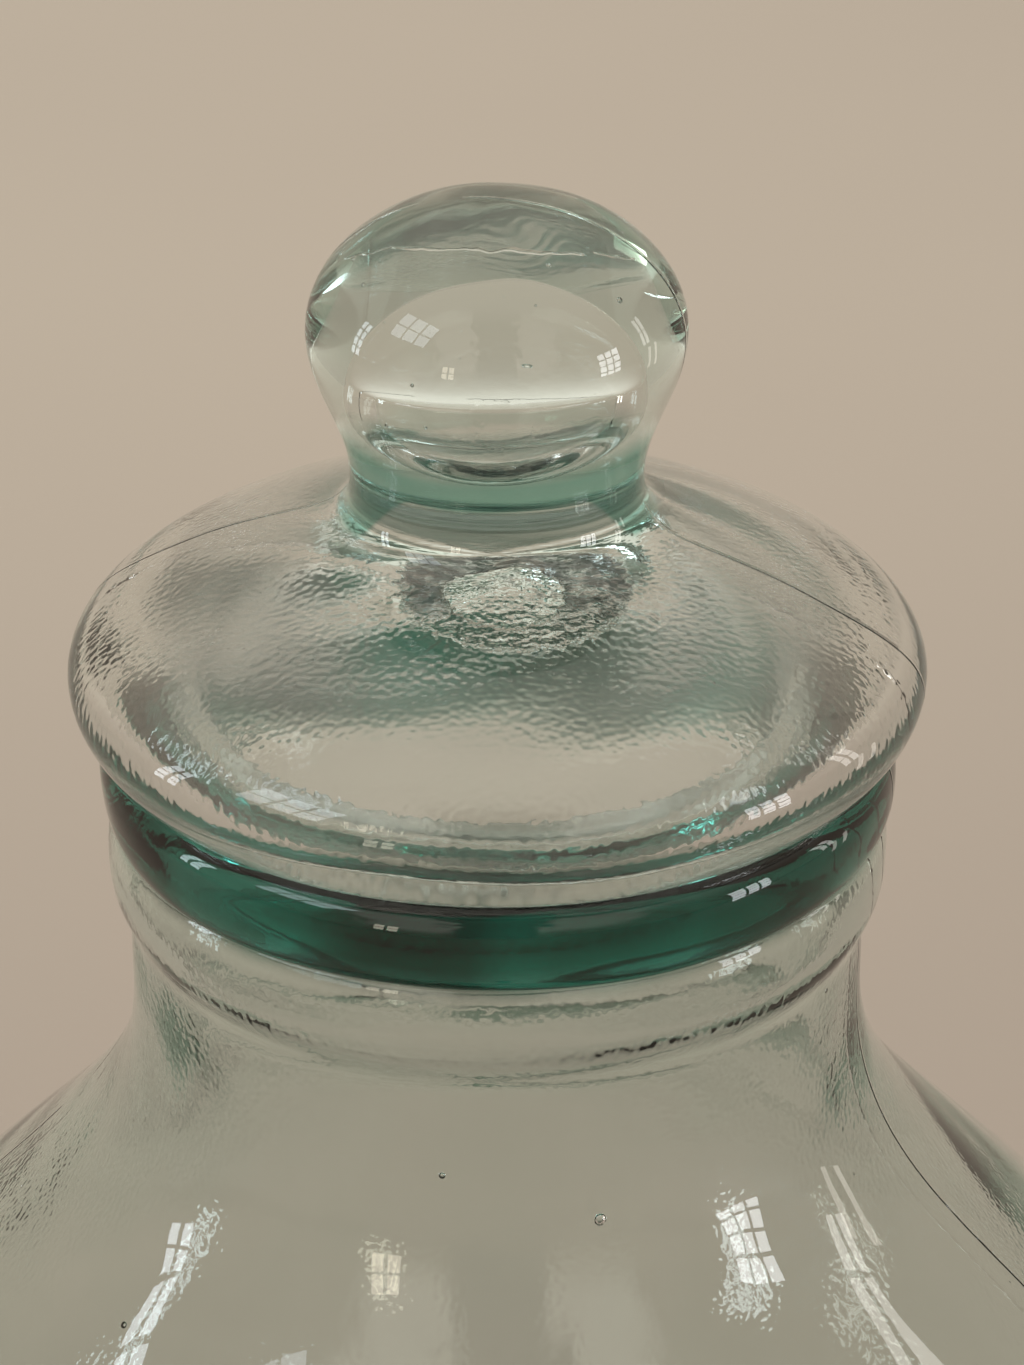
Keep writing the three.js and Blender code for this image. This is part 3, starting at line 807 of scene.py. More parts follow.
    def painted_neck_shade(self, sheet: NodeSheet, waves: Value) -> Value:
        """Mask of a band of painted deep-green shade round a lid's neck, with legs at both sides and paler at
        the back.

        Args:
            sheet: the material's nodes.
            waves: noise that moves the band up and down.

        Returns:
            1 where the painted shade is full.
        """
        low, high = self.deep
        level = sheet.axis("Z") + (waves - 0.5) * (1.2 * MM)
        legs = abs(sheet.axis("X")).step(12 * MM, 21 * MM) * (9 * MM)
        foot = (level + legs).step((low - 0.5) * MM, (low + 0.5) * MM)
        band = foot * level.step((high + 3) * MM, (high - 3) * MM)
        front = sheet.axis("Y").step(10 * MM, -10 * MM)
        return band * (0.4 + 0.6 * front)

    def dullness(self, sheet: NodeSheet) -> Value:
        """Share of the inside's roughness.

        Args:
            sheet: the material's nodes.

        Returns:
            0.2 in a clear middle and at the edge, and 1 between them.
        """
        clear = sheet.from_middle((0, -10), (32, 32)).step(0.6, 1.1)
        edge = sheet.from_middle((0, 0), (56, 56)).step(1.0, 0.84)
        return 0.2 + 0.8 * clear * edge

    def material(self, name: str) -> bpy.types.Material:
        """Clear glass outside, orange peel inside, with streaks and any marks of a jar or a lid.

        Args:
            name: the material's name.

        Returns:
            The material.
        """
        material, sheet = new_material(name)
        inner = sheet.node("ShaderNodeAttribute", {"attribute_name": "inner"}, output="Fac")
        outer = inner.step(0.8 * BUBBLE_MARK, 0.2 * BUBBLE_MARK)
        patches = sheet.noise(28, detail=1).step(0.5, 0.72)
        streaks = sheet.noise(9, detail=1, stretch=(1, 1, 0.15)).step(0.35, 0.75)
        peel = sheet.noise(1.0, detail=0)
        waves = sheet.noise(13, detail=0)
        colour = sheet.mix(streaks * 0.5, self.clear, self.streaked)
        height = waves * self.waviness + inner * peel * self.inside_peel + outer * self.parting(sheet)
        roughness = self.smoothness + self.haze * patches
        if self.inside_roughness:
            roughness = roughness + self.inside_roughness * self.dullness(sheet) * inner
        # painted shade darkens the jar's rim
        if self.ring:
            colour, streaks = self.painted_shade_rim(sheet, waves, colour)
            height = height + streaks
        # painted deep-green shade on the outer face of the lid's neck
        if self.deep:
            colour = sheet.mix(outer * self.painted_neck_shade(sheet, waves), colour, self.deep_painted_shade)
        if self.crease:
            height = height - outer * self.cold_crease(sheet) * self.crease_depth
        scale = None
        if self.scar:
            mark, scale = self.tool_mark(sheet)
            height = height + inner * mark
        glass = sheet.principled({
            "Base Color": colour,
            "Roughness": roughness,
            "IOR": self.refraction,
            "Transmission Weight": 1.0,
            "Normal": sheet.bump(height),
        })
        if scale:
            soot = sheet.principled({
                "Base Color": self.scale_colour,
                "Roughness": 0.4 + 0.2 * peel,
                "Normal": sheet.bump(height),
            })
            cover = inner * scale * self.scale_cover
            glass = sheet.node("ShaderNodeMixShader", inputs={0: cover, 1: glass, 2: soot})
        depth = sheet.node("ShaderNodeVolumeAbsorption", inputs={"Color": self.tint, "Density": self.depth})
        sheet.finish(glass, depth)
        return material


@dataclass(frozen=True)
class SatinSteel:
    """Stainless steel with fine drawn lines, handling marks and a few scratches."""

    colour: Colour = (0.56, 0.555, 0.54, 1.0)
    shade: Colour = (0.40, 0.395, 0.385, 1.0)
    roughness: float = 0.24
    drawn: Triple = (1.0, 1.0, 0.04)  # small along the direction of the lines
    line: float = 0.35  # width of the lines in millimetres

    def material(self, name: str) -> bpy.types.Material:
        """Metal whose roughness and height follow the drawn lines.

        Args:
            name: the material's name.

        Returns:
            The material.
        """
        material, sheet = new_material(name)
        lines = sheet.noise(self.line, detail=3, stretch=self.drawn)
        marks = sheet.noise(9, detail=4).step(0.42, 0.68)
        crossing = tuple(1 - 0.9 * share for share in self.drawn)
        scratches = sheet.noise(1.2, detail=2, stretch=crossing).step(0.66, 0.7)
        sheet.finish(sheet.principled({
            "Base Color": sheet.mix(marks * 0.45 + lines * 0.3, self.colour, self.shade),
            "Metallic": 1.0,
            "Roughness": self.roughness + 0.1 * lines + 0.12 * marks,
            "Normal": sheet.bump(0.006 * lines - 0.004 * scratches),
        }))
        return material


@dataclass(frozen=True)
class Silicone:
    """Milky food-grade silicone, matt and slightly mottled."""

    colour: Colour = (0.74, 0.73, 0.69, 1.0)
    stain: Colour = (0.62, 0.59, 0.52, 1.0)

    def material(self, name: str) -> bpy.types.Material:
        """Soft matt white with a little light below its skin.

        Args:
            name: the material's name.

        Returns:
            The material.
        """
        material, sheet = new_material(name)
        mottle = sheet.noise(6, detail=3).step(0.4, 0.75)
        grain = sheet.noise(0.3, detail=2)
        sheet.finish(sheet.principled({
            "Base Color": sheet.mix(mottle, self.colour, self.stain),
            "Roughness": 0.45 + 0.2 * grain,
            "Subsurface Weight": 0.15,
            "Subsurface Scale": 2 * MM,
            "Normal": sheet.bump(0.008 * grain),
        }))
        return material


@dataclass(frozen=True)
class Phenolic:
    """Turned black phenolic, polished, with turning marks and duller worn patches."""

    colour: Colour = (0.012, 0.012, 0.013, 1.0)
    worn: Colour = (0.035, 0.034, 0.033, 1.0)

    def material(self, name: str) -> bpy.types.Material:
        """Dark gloss that is broken by fine rings.

        Args:
            name: the material's name.

        Returns:
            The material.
        """
        material, sheet = new_material(name)
        rings = sheet.noise(0.5, detail=2, stretch=(0.03, 0.03, 1.0))
        wear = sheet.noise(5, detail=4).step(0.5, 0.72)
        sheet.finish(sheet.principled({
            "Base Color": sheet.mix(wear, self.colour, self.worn),
            "Roughness": 0.22 + 0.1 * rings + 0.16 * wear,
            "Normal": sheet.bump(0.004 * rings),
        }))
        return material


@dataclass
class Jar:
    """Blown jar: flat base, belly, shoulder, neck, a rim of two rolls, and a drilled boss for the tap."""

    height: float = 310.0
    base_radius: float = 99.0
    base_thickness: float = 12.0
    heel_radius: float = 116.0
    heel_height: float = 20.0
    belly_radius: float = 125.0
    belly_height: float = 150.0
    shoulder_radius: float = 96.0
    shoulder_height: float = 205.5
    shoulder_slope: float = math.radians(46.6)
    wall: float = 5.0
    floor_corner: float = 14.0
    mouth_radius: float = 50.0
    neck_setback: float = 2.0
    neck_wall: float = 5.0
    neck_length: float = 13.7
    lower_roll_proud: float = 3.2
    lower_roll_hollow: float = 2.8
    lower_roll_height: float = 15.5
    groove_proud: float = 1.6
    upper_roll_proud: float = 4.0
    upper_roll_height: float = 12.8
    lip_width: float = 4.8
    lip_rounding: float = 1.8
    tap_height: float = 50.0
    tap_hole_radius: float = 9.6
    boss_radius: float = 17.5
    boss_outer: float = 120.02  # flat pads of the boss, from the jar's axis
    boss_inner: float = 109.78
    boss_blend: float = 8.5  # how far the outer pad eases into the wall
    boss_inner_blend: float = 5.0
    hole_edge: float = 0.8  # rounding of the drilled hole's rims
    window: float = 29.0  # half the height of the wall that is drawn with the boss
    window_columns: int = 10  # half its width, in segments
    pad_rows: int = 18
    outer_ripple: Ripple = Ripple(0.5, 3)
    inner_ripple: Ripple = Ripple(1.1, 8)
    bubbles: Bubbles = Bubbles(30, 4, (2.2, 2.8), (0.15, 0.7), ((14.9, -56.0, 256.0, 1.0),))
    segments: int = 256
    spacing: float = 3.6
    bend: float = math.radians(9)  # most turn between two rows

    def __post_init__(self) -> None:
        """Work out the heights and radii that follow from the sizes."""
        self.groove_height = self.height - self.upper_roll_height
        self.neck_top = self.groove_height - self.lower_roll_height
        self.neck_foot = self.neck_top - self.neck_length
        self.neck_inner = self.mouth_radius + self.neck_setback
        self.neck_outer = self.neck_inner + self.neck_wall
        self.roll_middle = self.neck_top + self.lower_roll_height / 2
        self.roll_ease = 0.3 * self.lower_roll_height
        rise = self.belly_height - self.heel_height
        self.heel_lean = 0.6 * (self.belly_radius - self.heel_radius) / rise

    def draw_wall(self, outline: Outline, inset: float, neck_radius: float, roll_radius: float) -> None:
        """Draw one face of the wall from the heel to the middle of the lower roll.

        Three cubic curves that share their tangents lead to the straight neck, and one more to the roll.

        Args:
            outline: pen at the heel.
            inset: how far inside the outer face.
            neck_radius: of this face of the neck.
            roll_radius: of this face of the roll.
        """
        across, up = math.cos(self.shoulder_slope), math.sin(self.shoulder_slope)
        belly = self.belly_radius - inset
        heel = self.heel_radius - inset
        turn_radius = self.shoulder_radius - inset * up
        turn_height = self.shoulder_height - inset * across
        side = (self.belly_height - self.heel_height) / 3
        rise = 0.4 * (turn_height - self.belly_height)
        run = 0.7 * (belly - turn_radius)
        flare = 0.77 * (turn_radius - neck_radius)
        drop = 0.42 * (self.neck_foot - turn_height)
        outline.to(
            (heel + side * self.heel_lean, self.heel_height + side),
            (belly, self.belly_height - side),
            (belly, self.belly_height),
        )
        outline.to(
            (belly, self.belly_height + rise),
            (turn_radius + run * across, turn_height - run * up),
            (turn_radius, turn_height),
        )
        outline.to(
            (turn_radius - flare * across, turn_height + flare * up),
            (neck_radius, self.neck_foot - drop),
            (neck_radius, self.neck_foot),
        )
        outline.to((neck_radius, self.neck_top - self.roll_ease))
        outline.to(
            (neck_radius, self.neck_top + 0.4 * self.roll_ease),
            (roll_radius, self.neck_top),
            (roll_radius, self.roll_middle),
        )

    def outside(self) -> np.ndarray:
        """Profile from the centre of the base up the outer face, over the rim and down to the groove."""
        high_middle = self.groove_height + self.upper_roll_height / 2
        lower = self.neck_outer + self.lower_roll_proud
        upper = self.neck_outer + self.upper_roll_proud
        groove = self.neck_outer + self.groove_proud
        lip = self.mouth_radius + self.lip_rounding
        heel = (self.heel_radius, self.heel_height)
        line = Outline(0, 0).to((self.base_radius, 0))
        line.to((self.heel_radius - self.heel_lean * self.heel_height, 0), heel)
        self.draw_wall(line, 0, self.neck_outer, lower)
        line.to((lower, self.groove_height), (groove, self.groove_height))
        line.to((upper, self.groove_height), (upper, high_middle))
        line.to((upper, self.height), (lip + self.lip_width, self.height))
        line.to((lip, self.height))
        line.to((self.mouth_radius, self.height), (self.mouth_radius, self.height - self.lip_rounding))
        line.to((self.mouth_radius, self.groove_height))
        return line.sample(self.spacing, self.bend)

    def inside(self) -> np.ndarray:
        """Profile from the groove's height down the inner face to the centre of the floor."""
        hollow = self.neck_inner + self.lower_roll_hollow
        corner_top = self.base_thickness + self.floor_corner
        heel = self.heel_radius - self.wall + self.heel_lean * (corner_top - self.heel_height)
        line = Outline(0, self.base_thickness).to((heel - self.floor_corner, self.base_thickness))
        line.to((heel, self.base_thickness), (heel, corner_top))
        self.draw_wall(line, self.wall, self.neck_inner, hollow)
        line.to(
            (hollow, self.groove_height),
            (self.mouth_radius, self.groove_height - self.roll_ease),
            (self.mouth_radius, self.groove_height),
        )
        return line.sample(self.spacing, self.bend)[::-1]

    def lift(self, profile: np.ndarray, ripple: Ripple) -> np.ndarray:
        """Ripple of one face, faded out at the base, the lip, the axis and round the tap.

        Args:
            profile: the face's (radius, height) rows.
            ripple: its waves.

        Returns:
            rows x segments of distances along the profile's normal.
        """
        radius, height = profile[:, :1], profile[:, 1:]
        level = smoothstep(2, 40, height) * (1 - smoothstep(self.height - 9, self.height - 3, height))
        level = level * smoothstep(0, 30, radius)
        beside_tap = (angles(self.segments)[None, :] - 1.5 * np.pi) * self.belly_radius
        away = smoothstep(38, 75, np.hypot(beside_tap, height - self.tap_height))
        return ripple.over(profile, self.segments) * level * away

    def pad(
        self, reach: np.ndarray, angle: np.ndarray, wall: np.ndarray, flat: float, blend: float,
    ) -> np.ndarray:
        """Distance from the jar's axis of a pad that eases into the wall.

        With s = smoothstep over the blend, it is (1 - s) flat + s sqrt(wall radius² - x²).

        Args:
            reach: distances from the tap's axis.
            angle: angles round it.
            wall: the wall's (radius, height) rows.
            flat: distance of the flat pad.
            blend: length of the easing.

        Returns:
            Distances towards -Y.
        """
        side = wall[(wall[:, 0] > 0.85 * self.heel_radius) & (wall[:, 1] < self.belly_height)]
        side = side[np.argsort(side[:, 1])]
        radius = np.interp(self.tap_height + reach * np.sin(angle), side[:, 1], side[:, 0])
        circle = np.sqrt(radius**2 - (reach * np.cos(angle)) ** 2)
        share = smoothstep(self.boss_radius, self.boss_radius + blend, reach)
        return (1 - share) * flat + share * circle

    def boss(
        self, outer_loop: np.ndarray, inner_loop: np.ndarray, outer: np.ndarray, inner: np.ndarray,
    ) -> np.ndarray:
        """Grid along spokes of the tap's axis: over the outer pad, through the hole and over the inner pad.

        Args:
            outer_loop: points round the window in the outer face.
            inner_loop: points round the window in the inner face.
            outer: the outer face's (radius, height) rows.
            inner: the inner face's rows.

        Returns:
            rows x loop x 3 points.
        """
        far, first = spokes(outer_loop, self.tap_height, -1)
        near, last = spokes(inner_loop, self.tap_height, -1)
        hole, edge = self.tap_hole_radius, self.hole_edge
        share = np.linspace(0, 1, self.pad_rows)[:, None]
        outer_reach = far + (hole + edge - far) * share
        inner_reach = hole + edge + (near - hole - edge) * share
        drill = Outline(hole + edge, self.boss_outer)
        drill.to((hole, self.boss_outer), (hole, self.boss_outer - edge)).to((hole, self.boss_inner + edge))
        drill.to((hole, self.boss_inner), (hole + edge, self.boss_inner))
        tube = drill.sample(2.0, math.radians(18))[1:-1, :, None] + np.zeros(len(far))
        turn = np.linspace(0, 1, len(tube))[:, None]
        reach = np.concatenate([outer_reach, tube[:, 0], inner_reach])
        angle = np.concatenate([first + 0 * share, first + (last - first) * turn, last + 0 * share])
        out = np.concatenate([
            self.pad(outer_reach, first, outer, self.boss_outer, self.boss_blend),
            tube[:, 1],
            self.pad(inner_reach, last, inner, self.boss_inner, self.boss_inner_blend),
        ])
        grid = np.stack([reach * np.cos(angle), -out, self.tap_height + reach * np.sin(angle)], axis=-1)
        grid[0], grid[-1] = outer_loop, inner_loop
        return grid

    def build(self, finish: bpy.types.Material) -> bpy.types.Object:
        """The whole jar as one closed skin, with the boss let into a window of its two faces.

        Args:
            finish: its material.

        Returns:
            The new object.
        """
        outer, inner = self.outside(), self.inside()
        profile = np.concatenate([outer, inner[1:]])
        outer_lift, inner_lift = self.lift(outer, self.outer_ripple), self.lift(inner, self.inner_ripple)
        points = turned(profile, self.segments, np.concatenate([outer_lift, inner_lift[1:]]))
        low = row_at(outer, self.heel_radius, self.tap_height - self.window)
        high = row_at(outer, self.heel_radius, self.tap_height + self.window)
        above_corner = self.base_thickness + self.floor_corner + 1
        inner_low = len(outer) - 1 + row_at(inner, self.heel_radius, above_corner)
        middle = 3 * self.segments // 4
        columns = (middle - self.window_columns, middle + self.window_columns)
        windows = ((low, high), columns), ((inner_low, inner_low - (high - low)), columns)
        loops = [window_loop(points, *window) for window in windows]
        skin = Skin()
        faces = len(outer)
        keep = without_windows(points, *windows)
        skin.patch(points[:faces], keep[:faces - 1])
        skin.patch(points[faces - 1:], keep[faces - 1:], inner=1.0)
        skin.patch(self.boss(*loops, outer, inner))
        belly = row_at(outer, self.belly_radius, self.belly_height)
        neck = row_at(outer, self.neck_outer, self.neck_top)
        self.bubbles.scatter(skin, points[belly:neck])
        return skin.piece("jar_glass", finish)


@dataclass
class Lid:
    """Blown lid in one piece: knob with a sealed bubble, neck, dome, thick edge and a skirt in the mouth.

    Heights are above its seat on the jar's rim.
    """

    seat_height: float = 310.2  # flat underside, above the jar's base
    radius: float = 65.0
    edge_height: float = 10.2
    undercut: float = 7.0
    wall: float = 5.4
    dome_radius: float = 47.8
    dome_height: float = 25.0
    dome_slope: float = math.radians(26.6)
    skirt_depth: float = 16.0
    skirt_wall: float = 5.5
    skirt_radius: float = 48.3
    knob_top: float = 83.7
    knob_radius: float = 28.0
    knob_height: float = 63.7
    neck_radius: float = 21.8
    neck_height: float = 40.7
    ceiling_height: float = 28.0  # middle of the hollow under the dome
    bubble_radius: float = 14.2  # half the width of the bubble in the knob
    bubble_depth: float = 10.2  # half its size from front to back
    bubble_height: float = 58.0  # where it is widest
    bubble_foot: float = 46.0
    bubble_top: float = 60.4
    bubble_lean: float = 0.05  # sideways per height
    outer_ripple: Ripple = Ripple(0.4, 5)
    inner_ripple: Ripple = Ripple(1.4, 17, most_turns=9, longest=70, shortest=22)
    bubbles: Bubbles = Bubbles(
        36, 21, (1.0, 3.2), (0.12, 0.5),
        ((-20.0, -4.9, 75.8, 0.45), (-18.5, -11.6, 74.7, 0.4), (7.3, -14.6, 78.8, 0.4)),
    )
    segments: int = 256
    bubble_segments: int = 96
    spacing: float = 2.2
    bend: float = math.radians(8)

    def outside(self) -> np.ndarray:
        """Profile from the inside of the skirt's tip up the outer face to the top of the knob."""
        inner = self.skirt_radius - self.skirt_wall
        middle = self.skirt_radius - self.skirt_wall / 2
        tip = -self.skirt_depth
        round_top = tip + self.skirt_wall / 2
        seat = self.radius - self.undercut
        across, up = math.cos(self.dome_slope), math.sin(self.dome_slope)
        reach = 0.58 * (self.radius - self.dome_radius)
        flare = 0.68 * (self.dome_radius - self.neck_radius)
        line = Outline(inner, round_top).to((inner, tip), (middle, tip))
        line.to((self.skirt_radius, tip), (self.skirt_radius, round_top))
        line.to((self.skirt_radius, -1)).to((self.skirt_radius, 0), (self.skirt_radius + 1, 0)).to((seat, 0))
        line.to(
            (seat + 0.5 * self.undercut, 0.15 * self.edge_height),
            (self.radius, 0.58 * self.edge_height),
            (self.radius, self.edge_height),
        )
        line.to(
            (self.radius, self.edge_height + 0.44 * (self.dome_height - self.edge_height)),
            (self.dome_radius + reach * across, self.dome_height - reach * up),
            (self.dome_radius, self.dome_height),
        )
        line.to(
            (self.dome_radius - flare * across, self.dome_height + flare * up),
            (self.neck_radius, 0.77 * self.neck_height),
            (self.neck_radius, self.neck_height),
        )
        line.to(
            (self.neck_radius, self.neck_height + 9),
            (self.knob_radius, self.knob_height - 8),
            (self.knob_radius, self.knob_height),
        )
        line.cap(self.knob_radius, self.knob_height, self.knob_top)
        return line.sample(self.spacing, self.bend)

    def inside(self) -> np.ndarray:
        """Profile from the middle of the dome's ceiling down the inner face to the skirt's tip."""
        inner = self.skirt_radius - self.skirt_wall
        corner = 0.8 * self.wall
        edge = self.radius - self.wall
        line = Outline(inner, -self.skirt_depth + self.skirt_wall / 2).to((inner, self.wall - corner))
        line.to((inner, self.wall), (inner + corner, self.wall))
        line.to((edge - 0.6 * self.edge_height, self.wall)).to((edge, self.wall), (edge, self.edge_height))
        line.to(
            (edge, self.edge_height + 0.5 * (self.ceiling_height - self.edge_height)),
            (0.42 * edge, self.ceiling_height),
            (0, self.ceiling_height),
        )
        return line.sample(self.spacing, self.bend)[::-1]

    def knob_bubble(self) -> np.ndarray:
        """Grid of the bubble: two quarter ovals turned round +Z, flattened along Y, at x + lean (z - widest).

        Returns:
            rows x segments x 3 points, with heights above the seat.
        """
        radius = self.bubble_radius
        rise = self.bubble_height - self.bubble_foot
        line = Outline(0, self.bubble_foot).to(
            (0.42 * radius, self.bubble_foot),
            (radius, self.bubble_height - rise * ROUND_HANDLE),
            (radius, self.bubble_height),
        )
        line.cap(radius, self.bubble_height, self.bubble_top)
        points = turned(line.sample(1.0, self.bend), self.bubble_segments)
        points[..., 0] += self.bubble_lean * (points[..., 2] - self.bubble_height)
        points[..., 1] *= self.bubble_depth / radius
        return points

    def lift(self, profile: np.ndarray, ripple: Ripple) -> np.ndarray:
        """Ripple of one face, faded out on the seat, the skirt and at the axis."""
        level = smoothstep(2, 10, profile[:, 1:]) * smoothstep(0, 12, profile[:, :1])
        return ripple.over(profile, self.segments) * level

    def build(self, finish: bpy.types.Material) -> bpy.types.Object:
        """The whole lid as one closed skin, with its bubbles as closed skins inside it.

        Args:
            finish: its material.

        Returns:
            The new object.
        """
        outer, inner = self.outside(), self.inside()
        place = (0, 0, self.seat_height)
        skin = Skin()
        face = turned(outer, self.segments, self.lift(outer, self.outer_ripple))
        skin.patch(face + place)
        skin.patch(turned(inner, self.segments, self.lift(inner, self.inner_ripple)) + place, inner=1.0)
        skin.patch(self.knob_bubble() + place, flip=True, inner=BUBBLE_MARK)
        edge = row_at(outer, self.radius, self.edge_height)
        crown = row_at(outer, 0.5 * self.knob_radius, self.knob_top)
        chosen = [(x, y, z + self.seat_height, size) for x, y, z, size in self.bubbles.chosen]
        replace(self.bubbles, chosen=tuple(chosen)).scatter(skin, face[edge:crown] + place)
        return skin.piece("lid_glass", finish)


@dataclass
class Tap:
    """Lever tap clamped through the boss: cast body, clamp, bonnet, valve and lever."""

    height: float = 50.0  # the shank's axis above the base
    boss_outer: float = 120.021
    boss_inner: float = 109.781
    fit: float = 0.3
    shank_radius: float = 8.8
    shank_bore: float = 5.0
    shank_proud: float = 3.0
    thread_pitch: float = 1.8
    thread_depth: float = 0.7
    washer_radius: float = 15.0
    washer_thickness: float = 3.0
    flange_radius: float = 16.5
    flange_thickness: float = 3.5
    barrel_radius: float = 8.4
    barrel_fillet: float = 1.2
    valve_reach: float = 36.0
    nut_across_flats: float = 26.0
    nut_thickness: float = 8.0
    nut_segments: int = 180
    chamber_radius: float = 12.5
    chamber_bore: float = 9.6
    chamber_land: float = 1.6
    chamber_foot: float = 13.0
    seat_depth: float = 8.0
    spout_root: float = 10.0
    spout_tip: float = 8.0
    spout_depth: float = 31.0
    outlet_radius: float = 5.5
    gasket_thickness: float = 1.5
    bonnet_radius: float = 15.2
    bonnet_overlap: float = 8.0
    bonnet_plate: float = 3.4
    bonnet_flutes: int = 36
    flute_depth: float = 0.6
    collar_radius: float = 8.2
    collar_rise: float = 3.0
    stem_radius: float = 2.1
    stem_foot_radius: float = 4.2
    stem_foot_thickness: float = 2.0
    eye_radius: float = 3.8
    cup_radius: float = 7.6
    cup_top_radius: float = 6.6
    cup_height: float = 10.0
    cup_floor: float = 3.6
    spring_radius: float = 4.9
    spring_wire: float = 1.0
    spring_turns: int = 6
    lever_travel: float = math.radians(65)
    valve_lift: float = 4.5
    pin_rise: float = 6.2
    pin_radius: float = 1.5
    fork_width: float = 12.0
    heel_back: float = 5.0
    arm_width: float = 7.0
    arm_depth: float = 8.0
    arm_tip_depth: float = 5.4
    arm_length: float = 34.0
    arm_square: float = 7.0  # how square its section is
    arm_segments: int = 64
    tang_length: float = 13.0
    grip_length: float = 24.0
    grip_radius: float = 7.0
    grip_neck_radius: float = 4.9
    edge: float = 0.5  # rounding of plain edges
    window_columns: int = 15  # half the width of the chamber's window for the shank, in segments
    rod_segments: int = 48
    eye_segments: int = 64
    segments: int = 96

    def __post_init__(self) -> None:
        """Work out the places that follow from the sizes, as heights or as distances towards -Y."""
        clamp = self.washer_thickness + 2 * CONTACT
        self.flange_back = self.boss_outer + clamp
        self.valve_out = self.flange_back + self.valve_reach
        self.nut_face = self.boss_inner - clamp
        self.shank_end = self.nut_face - self.nut_thickness - self.shank_proud
        self.spout_end = self.height - self.spout_depth
        self.seat = self.height - self.seat_depth
        self.bonnet_foot = self.height + self.barrel_radius + self.chamber_land
        self.chamber_top = self.bonnet_foot + self.bonnet_overlap
        self.plate_under = self.chamber_top + self.gasket_thickness + 2 * CONTACT
        self.plate_top = self.plate_under + self.bonnet_plate
        self.collar_top = self.plate_top + self.collar_rise
        self.pin_height = self.collar_top + self.pin_rise
        self.cup_foot = self.seat + CONTACT
        self.cup_top = self.cup_foot + self.cup_height
        self.side_window = (self.height - self.chamber_foot + 3, self.bonnet_foot + 0.6)
        self.bore_window = (self.height - self.shank_bore - 2, self.height + self.shank_bore + 2)
        self.valve = (0.0, -self.valve_out, 0.0)
        self.pin = (0.0, -self.valve_out, self.pin_height)

    def chamber_profile(self) -> np.ndarray:
        """Closed profile of the upright part: up spout and chamber, over the rim, down bore and outlet."""
        edge, root = self.edge, self.height - self.chamber_foot
        wall, bore, outlet = self.chamber_radius, self.chamber_bore, self.outlet_radius
        top, seat, tip, end = self.chamber_top, self.seat, self.spout_tip, self.spout_end
        low, high = self.side_window
        bore_low, bore_high = self.bore_window
        line = Outline(outlet + edge, end).to((tip - edge, end)).to((tip, end), (tip, end + edge))
        line.to((self.spout_root, root - 3))
        line.to((self.spout_root + 0.4, root), (wall, root - 0.5), (wall, low))
        line.to((wall, high)).to((wall, top - edge)).to((wall, top), (wall - edge, top))
        line.to((bore + edge, top)).to((bore, top), (bore, top - edge))
        line.to((bore, bore_high)).to((bore, bore_low))
        line.to((bore, seat + edge)).to((bore, seat), (bore - edge, seat))
        line.to((outlet + edge, seat)).to((outlet, seat), (outlet, seat - edge))
        line.to((outlet, end + edge)).to((outlet, end), (outlet + edge, end))
        return line.sample(0.9, ARC)

    def shank(self, outer_loop: np.ndarray, inner_loop: np.ndarray) -> np.ndarray:
        """Grid from the chamber's side along barrel, flange and threaded shank, and back through the inlet.

        A row is a distance from the shank's axis and a distance from the valve's axis towards the jar. On the
        chamber the second is sqrt(radius² - x²), and a quadratic curve eases that into the barrel. The
        thread is a cosine of turns along the shank less the angle.

        Args:
            outer_loop: points round the window in the chamber's outer face.
            inner_loop: points round the window in its bore.

        Returns:
            rows x loop x 3 points.
        """
        far, first = spokes(outer_loop, self.height, 1)
        near, last = spokes(inner_loop, self.height, 1)
        count, edge = len(far), self.edge

        def side(radius: float, reach: Any, angle: np.ndarray) -> np.ndarray:
            """Where a spoke meets an upright cylinder."""
            return np.sqrt(radius**2 - (reach * np.cos(angle)) ** 2)

        def eased(stations: list[tuple[float, np.ndarray]]) -> np.ndarray:
            """Quadratic curve over stations of (reach, back), column by column."""
            handles = np.array([[np.full(count, reach), back] for reach, back in stations])
            return bezier(handles.reshape(3, -1), np.linspace(0, 1, 6)).reshape(-1, 2, count)

        def ring(profile: np.ndarray) -> np.ndarray:
            """A profile repeated for each column."""
            return profile[:, :, None] + np.zeros(count)

        share = np.linspace(0, 1, 7)[:, None]
        wall, bore, inlet = self.chamber_radius, self.chamber_bore, self.shank_bore
        barrel, flange, shank = self.barrel_radius, self.flange_radius, self.shank_radius
        foot, mouth = barrel + self.barrel_fillet, inlet + edge
        outer_reach = far + (foot - far) * share
        inner_reach = mouth + (near - mouth) * share
        barrel_side, bore_side = side(wall, barrel, first), side(bore, inlet, last)
        rear, end = self.valve_reach, self.valve_out - self.shank_end
        face = rear - self.flange_thickness
        front = Outline(barrel, wall + 2.4).to((barrel, face - 2.5))
        front.to((barrel, face - 0.6), (barrel + 2, face - 0.4)).to((flange - 3, face))
        front.to((flange, face), (flange, face + 1.8)).to((flange, rear - edge))
        front.to((flange, rear), (flange - edge, rear)).to((shank, rear))
        back = Outline(shank, end - 0.8).to((shank - 0.8, end)).to((mouth, end))
        back.to((inlet, end), (inlet, end - edge)).to((inlet, bore + 1.2))
        along = np.arange(rear + 0.3, end - 1, self.thread_pitch / 8)
        fade = smoothstep(0, 3, along - rear - 4) * smoothstep(0, 1.5, end - 1 - along)
        wave = 0.5 - 0.5 * np.cos(2 * np.pi * along[:, None] / self.thread_pitch - first)
        depth = self.thread_depth * fade[:, None] * wave
        thread = np.stack([shank - depth, along[:, None] + 0 * first], axis=1)
        fillet_end = barrel_side + self.barrel_fillet
        fillet = [(foot, side(wall, foot, first)), (barrel, barrel_side), (barrel, fillet_end)]
